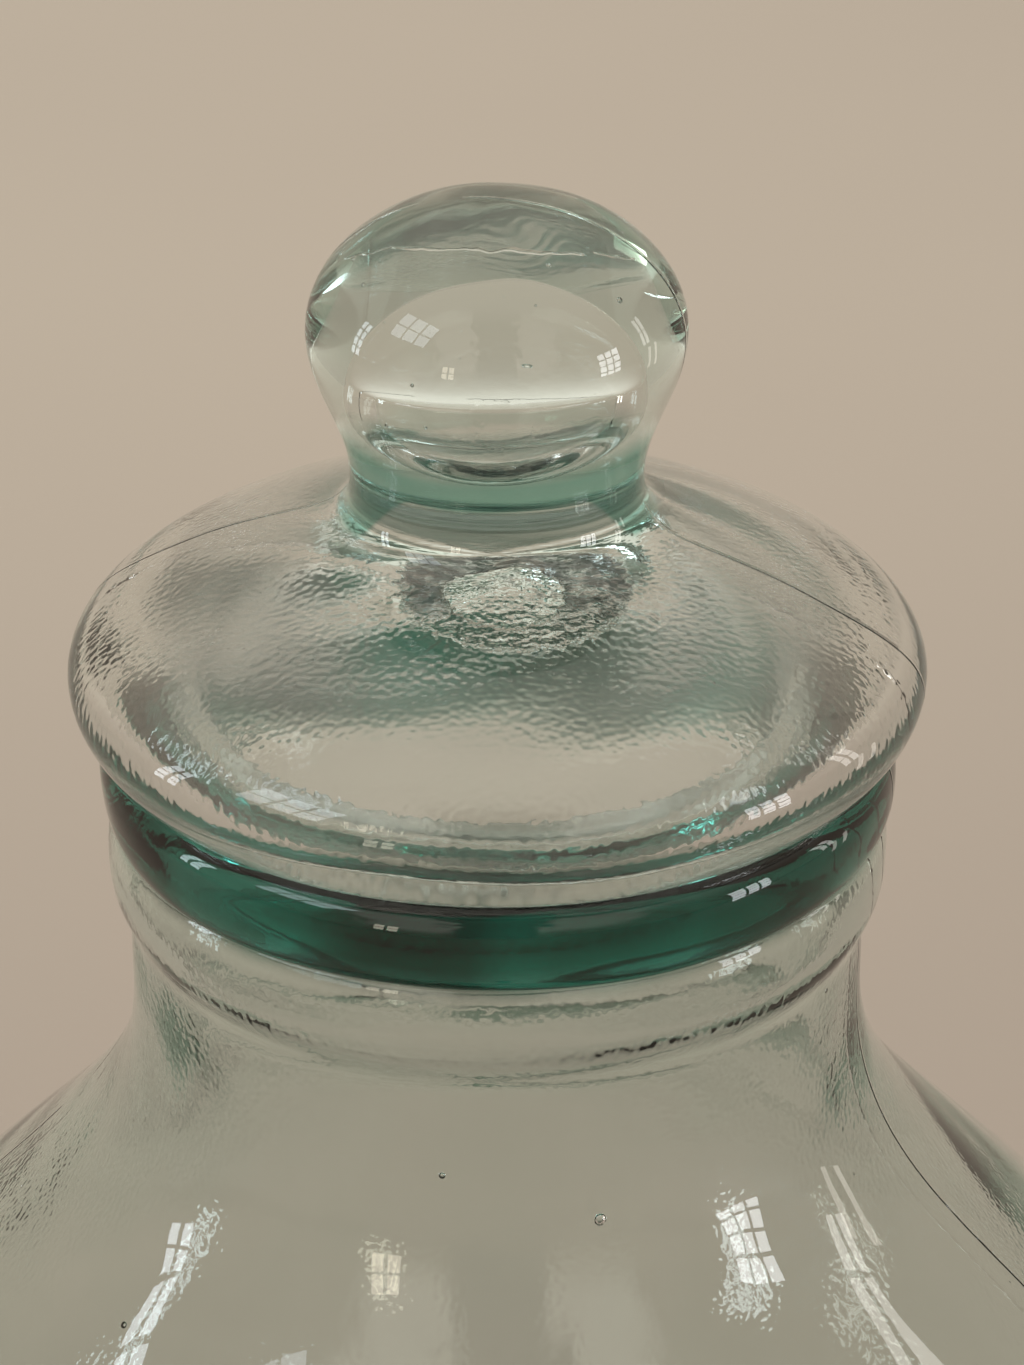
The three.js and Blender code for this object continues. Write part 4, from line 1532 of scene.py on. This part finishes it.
        rim = [(inlet, bore_side + edge), (inlet, bore_side), (mouth, side(bore, mouth, last))]
        middle = np.concatenate([eased(fillet), ring(front.sample(2.0, math.radians(12))), thread])
        tail = np.concatenate([ring(back.sample(2.0, ARC)), eased(rim)])
        turn = np.linspace(0, 1, len(tail))[:, None]
        reach = np.concatenate([outer_reach, middle[:, 0], tail[:, 0], inner_reach])
        backward = np.concatenate([
            side(wall, outer_reach, first), middle[:, 1], tail[:, 1], side(bore, inner_reach, last),
        ])
        angle = np.concatenate([
            np.repeat(first[None], len(share) + len(middle), axis=0),
            first + (last - first) * turn,
            last + 0 * share,
        ])
        across, up = -reach * np.cos(angle), reach * np.sin(angle)
        grid = np.stack([across, backward - self.valve_out, self.height + up], axis=-1)
        grid[0], grid[-1] = outer_loop, inner_loop
        return grid

    def body(self, finish: bpy.types.Material) -> bpy.types.Object:
        """Cast body: the upright chamber and spout, with the shank let into its side.

        The window in the bore has as many points round it as the one in the outer face.

        Args:
            finish: its material.

        Returns:
            The new object.
        """
        profile = self.chamber_profile()
        points = Facing.UP.place(turned(profile, self.segments), self.valve)
        low, high = (row_at(profile, self.chamber_radius, level) for level in self.side_window)
        inner_low, inner_high = (row_at(profile, self.chamber_bore, level) for level in self.bore_window)
        middle, half = self.segments // 4, self.window_columns
        wide = 2 * half + (high - low) - (inner_low - inner_high)
        left = middle - wide // 2
        windows = (
            ((low, high), (middle - half, middle + half)),
            ((inner_low, inner_high), (left, left + wide)),
        )
        skin = Skin()
        skin.patch(points, without_windows(points, *windows))
        skin.patch(self.shank(*(window_loop(points, *window) for window in windows)))
        return skin.piece("tap_casting", finish, CRISP)

    def washer(self, name: str, inner_face: float, finish: bpy.types.Material) -> bpy.types.Object:
        """Soft ring on the shank.

        Args:
            name: the object's name.
            inner_face: distance of the face towards the jar's axis.
            finish: its material.

        Returns:
            The new object.
        """
        bore, outer_face = self.shank_radius + self.fit, inner_face + self.washer_thickness
        profile = rounded([
            (bore, inner_face, 0.6), (self.washer_radius, inner_face, 0.9),
            (self.washer_radius, outer_face, 0.9), (bore, outer_face, 0.6),
        ], closed=True).sample(1.5, ARC)
        return turned_piece(name, finish, profile, Facing.OUT, (0, 0, self.height))

    def nut(self, finish: bpy.types.Material) -> bpy.types.Object:
        """Hexagon nut: a chamfered ring, its radius at most (flats / 2) / cos(angle from a flat's middle).

        Args:
            finish: its material.

        Returns:
            The new object.
        """
        bore, corner = self.shank_radius + self.fit, self.nut_across_flats / math.sqrt(3) - 0.3
        low, high = self.nut_face - self.nut_thickness, self.nut_face
        flat = self.nut_across_flats / 2
        profile = rounded([
            (bore, low, 0.6), (flat - 0.3, low, 0.2), (corner, low + 1.3, 0.2),
            (corner, high - 1.3, 0.2), (flat - 0.3, high, 0.2), (bore, high, 0.6),
        ], closed=True).sample(0.5, ARC)
        points = turned(profile, self.nut_segments)
        from_middle = np.mod(angles(self.nut_segments), np.pi / 3) - np.pi / 6
        most = np.minimum(1, flat / np.cos(from_middle) / np.maximum(profile[:, :1], bore))
        points[..., :2] *= most[..., None]
        return grid_piece("lock_nut", finish, Facing.OUT.place(points, (0, 0, self.height)), crisp=25)

    def bonnet(self, finish: bpy.types.Material) -> bpy.types.Object:
        """Screwed cap whose wall is fluted by -depth (1/2 + cos(flutes x angle) / 2)² between its rims.

        Args:
            finish: its material.

        Returns:
            The new object.
        """
        inside, bore = self.chamber_radius + self.fit, self.stem_radius + self.fit
        profile = rounded([
            (inside, self.bonnet_foot, 0.5), (self.bonnet_radius, self.bonnet_foot, 0.7),
            (self.bonnet_radius, self.plate_top, 1.6), (self.collar_radius, self.plate_top, 1.0),
            (self.collar_radius, self.collar_top, 0.7), (bore, self.collar_top, 0.5),
            (bore, self.plate_under, 0.4), (inside, self.plate_under, 0.5),
        ], closed=True).sample(0.8, math.radians(12))
        segments = 8 * self.bonnet_flutes
        level = profile[:, 1:]
        band = smoothstep(self.bonnet_foot + 1.2, self.bonnet_foot + 2.4, level)
        band = band * (1 - smoothstep(self.plate_top - 3.4, self.plate_top - 2.2, level))
        band = band * (profile[:, :1] > self.bonnet_radius - 0.1)
        flutes = (0.5 + 0.5 * np.cos(self.bonnet_flutes * angles(segments))) ** 2
        points = turned(profile, segments, -self.flute_depth * band * flutes)
        return grid_piece("fluted_bonnet", finish, Facing.UP.place(points, self.valve), CRISP)

    def gasket(self, finish: bpy.types.Material) -> bpy.types.Object:
        """Soft ring under the bonnet."""
        low = self.chamber_top + CONTACT
        high = low + self.gasket_thickness
        inside, outside, easing = self.chamber_bore, self.chamber_radius, 0.4
        corners = (inside, low), (outside, low), (outside, high), (inside, high)
        profile = rounded([(*corner, easing) for corner in corners], closed=True).sample(1.0, ARC)
        return turned_piece("bonnet_seal", finish, profile, centre=self.valve)

    def cup(self, finish: bpy.types.Material) -> bpy.types.Object:
        """Silicone plug moulded round the stem's foot.

        Args:
            finish: its material.

        Returns:
            The new object.
        """
        bore, pocket = self.stem_radius + self.fit, self.cup_foot + self.cup_floor
        pocket_top = pocket + self.stem_foot_thickness + 2 * CONTACT
        pocket_radius = self.stem_foot_radius + self.fit
        line = rounded([
            (0, self.cup_foot, 0), (self.cup_radius, self.cup_foot, 0.7), (self.cup_radius, pocket, 0.8),
            (self.cup_top_radius, self.cup_top, 0.7), (bore, self.cup_top, 0.4), (bore, pocket_top, 0.3),
            (pocket_radius, pocket_top, 0.3), (pocket_radius, pocket, 0.3), (0, pocket, 0),
        ])
        return turned_piece("seat_plug", finish, line.sample(1.0, ARC), centre=self.valve)

    def stem(self, finish: bpy.types.Material) -> bpy.types.Object:
        """Rod with a foot, and a flat eye across its top with a hole for the pin.

        Args:
            finish: its material.

        Returns:
            The new object.
        """
        foot = self.cup_foot + self.cup_floor + CONTACT
        foot_top = foot + self.stem_foot_thickness
        eye_foot = self.pin_height - self.eye_radius
        rod = rounded([
            (0, foot, 0), (self.stem_foot_radius, foot, 0.4), (self.stem_foot_radius, foot_top, 0.4),
            (self.stem_radius, foot_top, 0.3), (self.stem_radius, eye_foot, 0.3), (0, eye_foot, 0),
        ]).sample(2.0, ARC)
        points = Facing.UP.place(turned(rod, self.rod_segments), self.valve)
        piece = grid_piece("valve_rod", finish, points)
        radius, half = self.eye_radius, self.stem_radius + 0.1
        corners = (0, -half, 0), (radius, -half, self.edge), (radius, half, self.edge), (0, half, 0)
        disc = rounded(corners).sample(1.5, ARC)
        Join.ADD.work(piece, turned_piece("eye", finish, disc, Facing.ACROSS, self.pin, self.eye_segments))
        Join.CUT.work(piece, self.cross_rod("eye_hole", self.pin_radius + CONTACT, self.fork_width, finish))
        ease_edges(piece, 0.25)
        return piece

    def cross_rod(
        self, name: str, radius: float, reach: float, finish: bpy.types.Material,
    ) -> bpy.types.Object:
        """Rod across the tap at the pin, with slightly rounded ends."""
        line = rounded([(0, -reach, 0), (radius, -reach, 0.35), (radius, reach, 0.35), (0, reach, 0)])
        return turned_piece(name, finish, line.sample(2.0, ARC), Facing.ACROSS, self.pin, self.rod_segments)

    def spring(self, finish: bpy.types.Material) -> bpy.types.Object:
        """Coil whose ends lie flat: it rises by the integral of a pitch that grows from one wire's width.

        A point is (R + w cos b) (cos a, sin a) and z + w sin b, with angle a along the wire and b round it.

        Args:
            finish: its material.

        Returns:
            The new object.
        """
        wire = self.spring_wire / 2
        low = self.cup_top + CONTACT + wire
        high = self.plate_under - CONTACT - wire
        turns = np.linspace(0, self.spring_turns, 48 * self.spring_turns + 1)
        flat, growth = 0.35, 0.9  # turns at each end
        pitch = smoothstep(0, growth, turns - flat) * smoothstep(0, growth, self.spring_turns - flat - turns)
        closed = 1.02 * self.spring_wire * (1 - pitch)
        spread = np.concatenate([[0], np.cumsum((pitch[1:] + pitch[:-1]) / 2)])
        packed = np.concatenate([[0], np.cumsum((closed[1:] + closed[:-1]) / 2 * np.diff(turns))])
        rise = low + packed + (high - low - packed[-1]) * spread / spread[-1]
        around = angles(14)
        along = 2 * np.pi * turns[:, None]
        size = np.ones(len(turns))
        size[[0, -1]] = 0
        reach = self.spring_radius + wire * size[:, None] * np.cos(around)
        level = rise[:, None] + wire * size[:, None] * np.sin(around)
        points = np.stack([reach * np.cos(along), reach * np.sin(along), level], axis=-1)
        first, last = (
            (points[row] + points[end].mean(axis=0) - points[row].mean(axis=0))[None]
            for row, end in ((1, 0), (-2, -1))
        )  # sections moved back to the wire's ends, so that these are cut square
        points = np.concatenate([points[:1], first, points[1:-1], last, points[-1:]])
        return grid_piece("coil_spring", finish, Facing.UP.place(points, self.valve), CRISP, flip=True)

    def lever_head(self, finish: bpy.types.Material) -> bpy.types.Object:
        """Slab whose heel is a cam: its reach from the pin grows evenly with the angle.

        At angle a the heel touches the bonnet at (-s sin a - g cos a, -s cos a + g sin a), s = reach + g a.

        Args:
            finish: its material.

        Returns:
            The new object.
        """
        reach = self.pin_rise - CONTACT
        growth = self.valve_lift / self.lever_travel
        angle = np.linspace(0, self.lever_travel, 24)
        along = reach + growth * angle
        cam = np.stack([
            -along * np.sin(angle) - growth * np.cos(angle), -along * np.cos(angle) + growth * np.sin(angle),
        ], axis=-1)
        top = 2 * self.eye_radius
        rest = Outline(*cam[-1])
        rest.to((-self.arm_depth, self.eye_radius), (-self.arm_depth / 2, top)).to((self.arm_depth / 2, top))
        rest.to((self.heel_back, self.eye_radius), (self.heel_back, 0.6 - reach))
        rest.to((self.heel_back, -reach), (self.heel_back - 0.6, -reach)).to(tuple(cam[0]))
        outline = np.concatenate([cam, rest.sample(0.6, math.radians(12))[1:-1]])
        ahead = np.roll(outline, -1, axis=0) - np.roll(outline, 1, axis=0)
        inward = np.stack([ahead[:, 1], -ahead[:, 0]], axis=-1) / np.hypot(*ahead.T)[:, None]
        half, edge = self.fork_width / 2, 0.8
        turn = np.linspace(0, np.pi / 2, 6)
        inset = edge * (1 - np.sin(turn))
        across = half - edge * (1 - np.cos(turn))
        inset, across = np.concatenate([inset, inset[::-1]]), np.concatenate([across, -across[::-1]])
        flat = outline + inset[:, None, None] * inward
        rows = np.concatenate([0 * flat[:1], flat, 0 * flat[:1]])
        level = np.concatenate([across[:1], across, across[-1:]])[:, None] + 0 * rows[..., 0]
        points = np.concatenate([level[..., None], rows], axis=-1)
        return grid_piece("tap_handle", finish, Facing.UP.place(points, self.pin))

    def lever(self, finish: bpy.types.Material) -> bpy.types.Object:
        """Forked lever: cam head, tapered arm and tang, less a slot for the stem's eye and the pin hole.

        Args:
            finish: its material.

        Returns:
            The new object.
        """
        piece = self.lever_head(finish)
        root, width, tip_depth = self.eye_radius + 1.5, self.arm_width, self.arm_tip_depth
        tang_end = self.arm_length + self.tang_length
        height, wide, deep = np.array([
            (root, 0, 0),
            (root, width, self.arm_depth),
            (2 * self.eye_radius + 2, width, 0.95 * self.arm_depth),
            (self.arm_length - 2, width, tip_depth + 0.2),
            (self.arm_length, width, tip_depth),
            (tang_end - 0.4, width, tip_depth),
            (tang_end, width - 0.8, tip_depth - 0.8),
            (tang_end, 0, 0),
        ]).T
        arm = lofted(wide / 2, deep / 2, height, self.arm_square, self.arm_segments)
        slot_half = (self.stem_radius + self.fit, 4 * self.eye_radius)
        slot = bar(slot_half, (-3 * self.pin_rise, self.eye_radius + self.fit), square=200, segments=8)
        Join.ADD.work(piece, grid_piece("arm", finish, Facing.UP.place(arm, self.pin)))
        Join.CUT.work(piece, grid_piece("slot", finish, Facing.UP.place(slot, self.pin)))
        Join.CUT.work(piece, self.cross_rod("pin_hole", self.pin_radius + CONTACT, self.fork_width, finish))
        ease_edges(piece, 0.3)
        return piece

    def grip(self, finish: bpy.types.Material) -> bpy.types.Object:
        """Turned grip with a beaded neck and two fine grooves, hollowed for the tang.

        Args:
            finish: its material.

        Returns:
            The new object.
        """
        foot, neck, radius = self.arm_length, self.grip_neck_radius, self.grip_radius
        belly, top = foot + 0.62 * self.grip_length, foot + self.grip_length
        line = Outline(0, foot).to((neck - 0.8, foot)).to((neck, foot), (neck, foot + 0.8))
        line.to((neck + 0.5, foot + 1.5), (neck, foot + 2.2)).to((neck - 0.15, foot + 2.6), (neck, foot + 3))
        line.to((neck, foot + 6.5), (radius, belly - 6), (radius, belly - 2.2))
        for height in (belly - 2.2, belly - 0.4):
            line.to((radius, height + 0.5)).to((radius - 0.7, height + 0.85), (radius, height + 1.2))
        line.to((radius, belly + 1.4)).cap(radius, belly + 1.4, top)
        piece = turned_piece("handle_grip", finish, line.sample(0.7, math.radians(10)), centre=self.pin)
        half = (self.arm_width / 2 + self.fit, self.arm_tip_depth / 2 + self.fit)
        heights = (foot - 1, foot + self.tang_length + self.fit)
        socket = bar(half, heights, self.arm_square, self.arm_segments)
        Join.CUT.work(piece, grid_piece("socket", finish, Facing.UP.place(socket, self.pin)))
        piece.data.set_sharp_from_angle(angle=math.radians(50))
        return piece

    def build(self) -> None:
        """Make every piece with its finish, set it on its body, and give the spring a mesh of its own."""
        cast = SatinSteel(drawn=(0.5, 0.5, 0.5), line=0.25, roughness=0.2).material("cast_steel")
        lathe = SatinSteel(drawn=(0.04, 0.04, 1.0)).material("turned_steel")
        drawn = SatinSteel().material("drawn_steel")
        wire = SatinSteel(colour=(0.42, 0.42, 0.43, 1.0), roughness=0.3, line=0.2).material("spring_wire")
        soft = Silicone().material("silicone")
        black = Phenolic().material("phenolic")
        dress(self.body(cast), "dispenser", "tap_body")
        outer = self.washer("outer_washer", self.boss_outer + CONTACT, soft)
        inner = self.washer("inner_washer", self.boss_inner - CONTACT - self.washer_thickness, soft)
        dress(outer, "dispenser", "tap_outer_washer")
        dress(inner, "dispenser", "tap_inner_washer")
        dress(self.nut(drawn), "dispenser", "tap_lock_nut")
        dress(self.bonnet(lathe), "dispenser", "tap_bonnet")
        dress(self.gasket(soft), "dispenser", "bonnet_gasket")
        dress(self.stem(lathe), "stem", "valve_stem")
        dress(self.cup(soft), "stem", "seat_cup")
        pin = self.cross_rod("hinge_pin", self.pin_radius, self.fork_width / 2, lathe)
        dress(pin, "stem", "lever_pin")
        dress(self.lever(drawn), "lever", "tap_lever")
        dress(self.grip(black), "lever", "lever_grip")
        spring = self.spring(wire)
        dress(spring, "dispenser", "return_spring")
        length = self.plate_under - self.cup_top - 2 * CONTACT
        1 - self.valve_lift / length
        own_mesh(spring)


@dataclass(frozen=True)
class Window:
    """A soft lamp that the glass mirrors: a pane, or a grid of panes, facing one point."""

    name: str
    direction: Triple  # from that point to the window
    distance: float  # metres
    pane: tuple[float, float]  # width and height in metres
    brightness: float
    tint: Triple = (1.0, 1.0, 1.0)
    panes: tuple[int, int] = (1, 1)
    bar: float = 0.05  # gap between panes, in metres

    def hang(self, aim: Vector) -> None:
        """Make one area lamp for each pane.

        Args:
            aim: the point that the window faces.
        """
        outward = Vector(self.direction).normalized()
        turn = (-outward).to_track_quat("-Z", "Y")
        across, up = turn @ Vector((1, 0, 0)), turn @ Vector((0, 1, 0))
        columns, rows = self.panes
        width, height = self.pane
        for column, row in np.ndindex(columns, rows):
            lamp = bpy.data.lights.new(f"{self.name}_{column}_{row}", "AREA")
            lamp.shape = "RECTANGLE"
            lamp.size, lamp.size_y = self.pane
            lamp.energy = self.brightness * math.pi * width * height
            lamp.color = self.tint
            obj = bpy.data.objects.new(lamp.name, lamp)
            aside = across * (column - (columns - 1) / 2) * (width + self.bar)
            above = up * (row - (rows - 1) / 2) * (height + self.bar)
            obj.location = aim + outward * self.distance + (aside + above)
            obj.rotation_euler = turn.to_euler()
            obj.visible_camera = False
            bpy.context.scene.collection.objects.link(obj)


@dataclass
class Room:
    """Pale floor, soft studio light with windows for the glass to mirror, and the camera."""

    floor_radius: float = 14.0  # metres
    floor_rings: int = 24
    floor_segments: int = 96
    floor_gap: float = 0.2  # air between the floor and the jar's base
    floor_colour: Colour = linear(190, 175, 155)
    # painted shade of the floor, also its cloudy tone
    floor_painted_shade_and_tone: Colour = linear(166, 149, 133)
    room_colour: Colour = linear(190, 175, 157)
    room_shade: Colour = (0.3, 0.27, 0.235, 1.0)  # behind the camera
    ceiling_colour: Colour = (1.0, 0.92, 0.8, 1.0)
    front_colour: Colour = (1.3, 1.18, 1.02, 1.0)  # bright walls at both sides of that shade
    soft_light: float = 0.91
    camera_place: Triple = (0.0, -541.0, 596.1)
    camera_dip: float = 27.4  # degrees below level
    camera_turn: float = -0.24  # degrees, to set the jar a little left of the middle
    focal_length: float = 105.5
    bounces: int = 24
    window_aim: Triple = (0.0, 0.0, 0.33)  # what the windows face, in metres
    windows: tuple[Window, ...] = (
        Window("left_window", (-0.95, 0.0, 0.2), 2.5, (0.12, 0.24), 7.0, (0.84, 0.93, 1.0), (2, 4)),
        Window("side_window", (-0.72, -0.4, 0.62), 2.6, (0.3, 0.4), 3.6, (0.84, 0.93, 1.0), (3, 2)),
        Window("right_window", (0.93, -0.33, 0.05), 3.0, (0.2, 0.26), 8.0, (0.95, 0.97, 1.0), (3, 4)),
        Window("back_window", (0.92, 0.14, 0.19), 3.0, (0.12, 0.5), 4.0, (1.0, 0.97, 0.92), (2, 2)),
        Window("low_window", (0.93, 0.2, -0.1), 0.8, (0.03, 0.2), 2.5, (1.0, 0.93, 0.84), (2, 1)),
        Window("front_window", (-0.49, -0.86, 0.14), 3.0, (0.16, 0.3), 5.0, (1.0, 0.9, 0.72), (2, 2)),
    )

    def lay_floor(self) -> None:
        """A broad plaster disc just below the jar's base, with painted shade that darkens it to the right and
        to the front.
        """
        radius = np.linspace(0, 1, self.floor_rings) ** 2 * self.floor_radius / MM
        profile = np.stack([radius, np.full_like(radius, -self.floor_gap)], axis=-1)
        material, sheet = new_material("floor_plaster")
        # painted shade: darker to the right and towards the front; the cloud is the plaster's own tone
        painted_shade_right = sheet.axis("X").step(-0.1, 0.6)
        near = sheet.axis("Y").step(1.0, 0.25)
        cloud = sheet.noise(300)
        shade = painted_shade_right * 0.25 + near * 0.6 + cloud * 0.15
        sheet.finish(sheet.principled({
            "Base Color": sheet.mix(shade, self.floor_colour, self.floor_painted_shade_and_tone),
            "Roughness": 0.85,
            "Normal": sheet.bump(0.04 * sheet.noise(3)),
        }))
        grid_piece("floor", material, turned(profile, self.floor_segments), flip=True)

    def light(self) -> None:
        """Even white light for matt surfaces, a beige room for what glass and metal show, and the windows.

        A path that has met a matt surface sees the even light, also through glass.
        """
        world = bpy.data.worlds.new("room")
        world.use_nodes = True
        bpy.context.scene.world = world
        sheet = NodeSheet(world.node_tree, "Generated")
        path = {name: sheet.node("ShaderNodeLightPath", output=name)
                for name in ("Is Camera Ray", "Is Glossy Ray", "Is Transmission Ray", "Diffuse Depth")}
        seen = path["Is Camera Ray"].most(path["Is Glossy Ray"]).most(path["Is Transmission Ray"])
        seen = seen * path["Diffuse Depth"].step(0.9, 0.1)
        upward = sheet.axis("Z")
        behind = sheet.axis("Y").step(-0.2, -0.6)
        aside = sheet.axis("X") + 0.3 * (sheet.noise(90, stretch=(1, 1, 0.1)) - 0.5)
        narrow = abs(aside).step(0.26, 0.18)
        walls = abs(aside).step(0.62, 0.5) * upward.step(0.05, 0.3)
        dim = sheet.mix(upward.step(0.35, 0.95), self.room_colour, self.ceiling_colour)
        dim = sheet.mix(behind * walls, dim, self.front_colour)
        dim = sheet.mix(behind * narrow, dim, self.room_shade)
        even = (self.soft_light, self.soft_light, self.soft_light, 1.0)
        sky = sheet.node("ShaderNodeBackground", inputs={"Color": sheet.mix(seen, even, dim)})
        sheet.node("ShaderNodeOutputWorld", inputs={"Surface": sky})
        for window in self.windows:
            window.hang(Vector(self.window_aim))

    def set_camera(self) -> None:
        """Camera above and in front of the lid, looking down at it."""
        lens = bpy.data.cameras.new("camera")
        lens.sensor_width = 36.0
        lens.lens = self.focal_length
        camera = bpy.data.objects.new("camera", lens)
        camera.location = Vector(self.camera_place) * MM
        camera.rotation_euler = (math.radians(90 - self.camera_dip), 0, math.radians(self.camera_turn))
        bpy.context.scene.collection.objects.link(camera)
        bpy.context.scene.camera = camera

    def build(self) -> None:
        """Make the whole room and set how deep light goes into the glass."""
        self.lay_floor()
        self.light()
        self.set_camera()
        scene = bpy.context.scene
        scene.view_settings.view_transform = "Standard"
        scene.cycles.max_bounces = self.bounces
        scene.cycles.transmission_bounces = self.bounces
        scene.cycles.glossy_bounces = self.bounces // 2


def dress(piece: bpy.types.Object, body: str, node: str) -> None:
    """Let a piece ride on a body and stand for a CAD node.

    Args:
        piece: the finished object.
        body: the CAD body that carries it.
        node: the CAD node that it stands for.
    """
    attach(piece, body)
    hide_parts(node)
    log.info("%s stands for %s on %s, %d faces", piece.name, node, body, len(piece.data.polygons))


def main() -> None:
    """Build the glass, the tap and the room, and report each piece."""
    logging.basicConfig(level=logging.INFO, format="%(name)s: %(message)s")
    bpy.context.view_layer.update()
    jar, lid = Jar(), Lid()
    groove, seat = jar.groove_height, lid.seat_height
    # ring: heights of the painted shade on the rim
    jar_finish = RecycledGlass(depth=30.0, waviness=0.3, ring=(groove - 2.5, groove + 1))
    lid_finish = RecycledGlass(
        depth=6.0, waviness=0.1, inside_roughness=0.22, inside_peel=0.07,
        scar=(2.5, -16.5, seat + lid.ceiling_height), crease=seat + lid.knob_height,
        # deep: heights of the painted shade round the neck
        deep=(seat + 44.3, seat + 51.0),
    )
    dress(jar.build(jar_finish.material("jar_glass")), "dispenser", "jar")
    dress(lid.build(lid_finish.material("lid_glass")), "lid", "lid")
    Tap().build()
    Room().build()


if __name__ == "__main__":
    main()
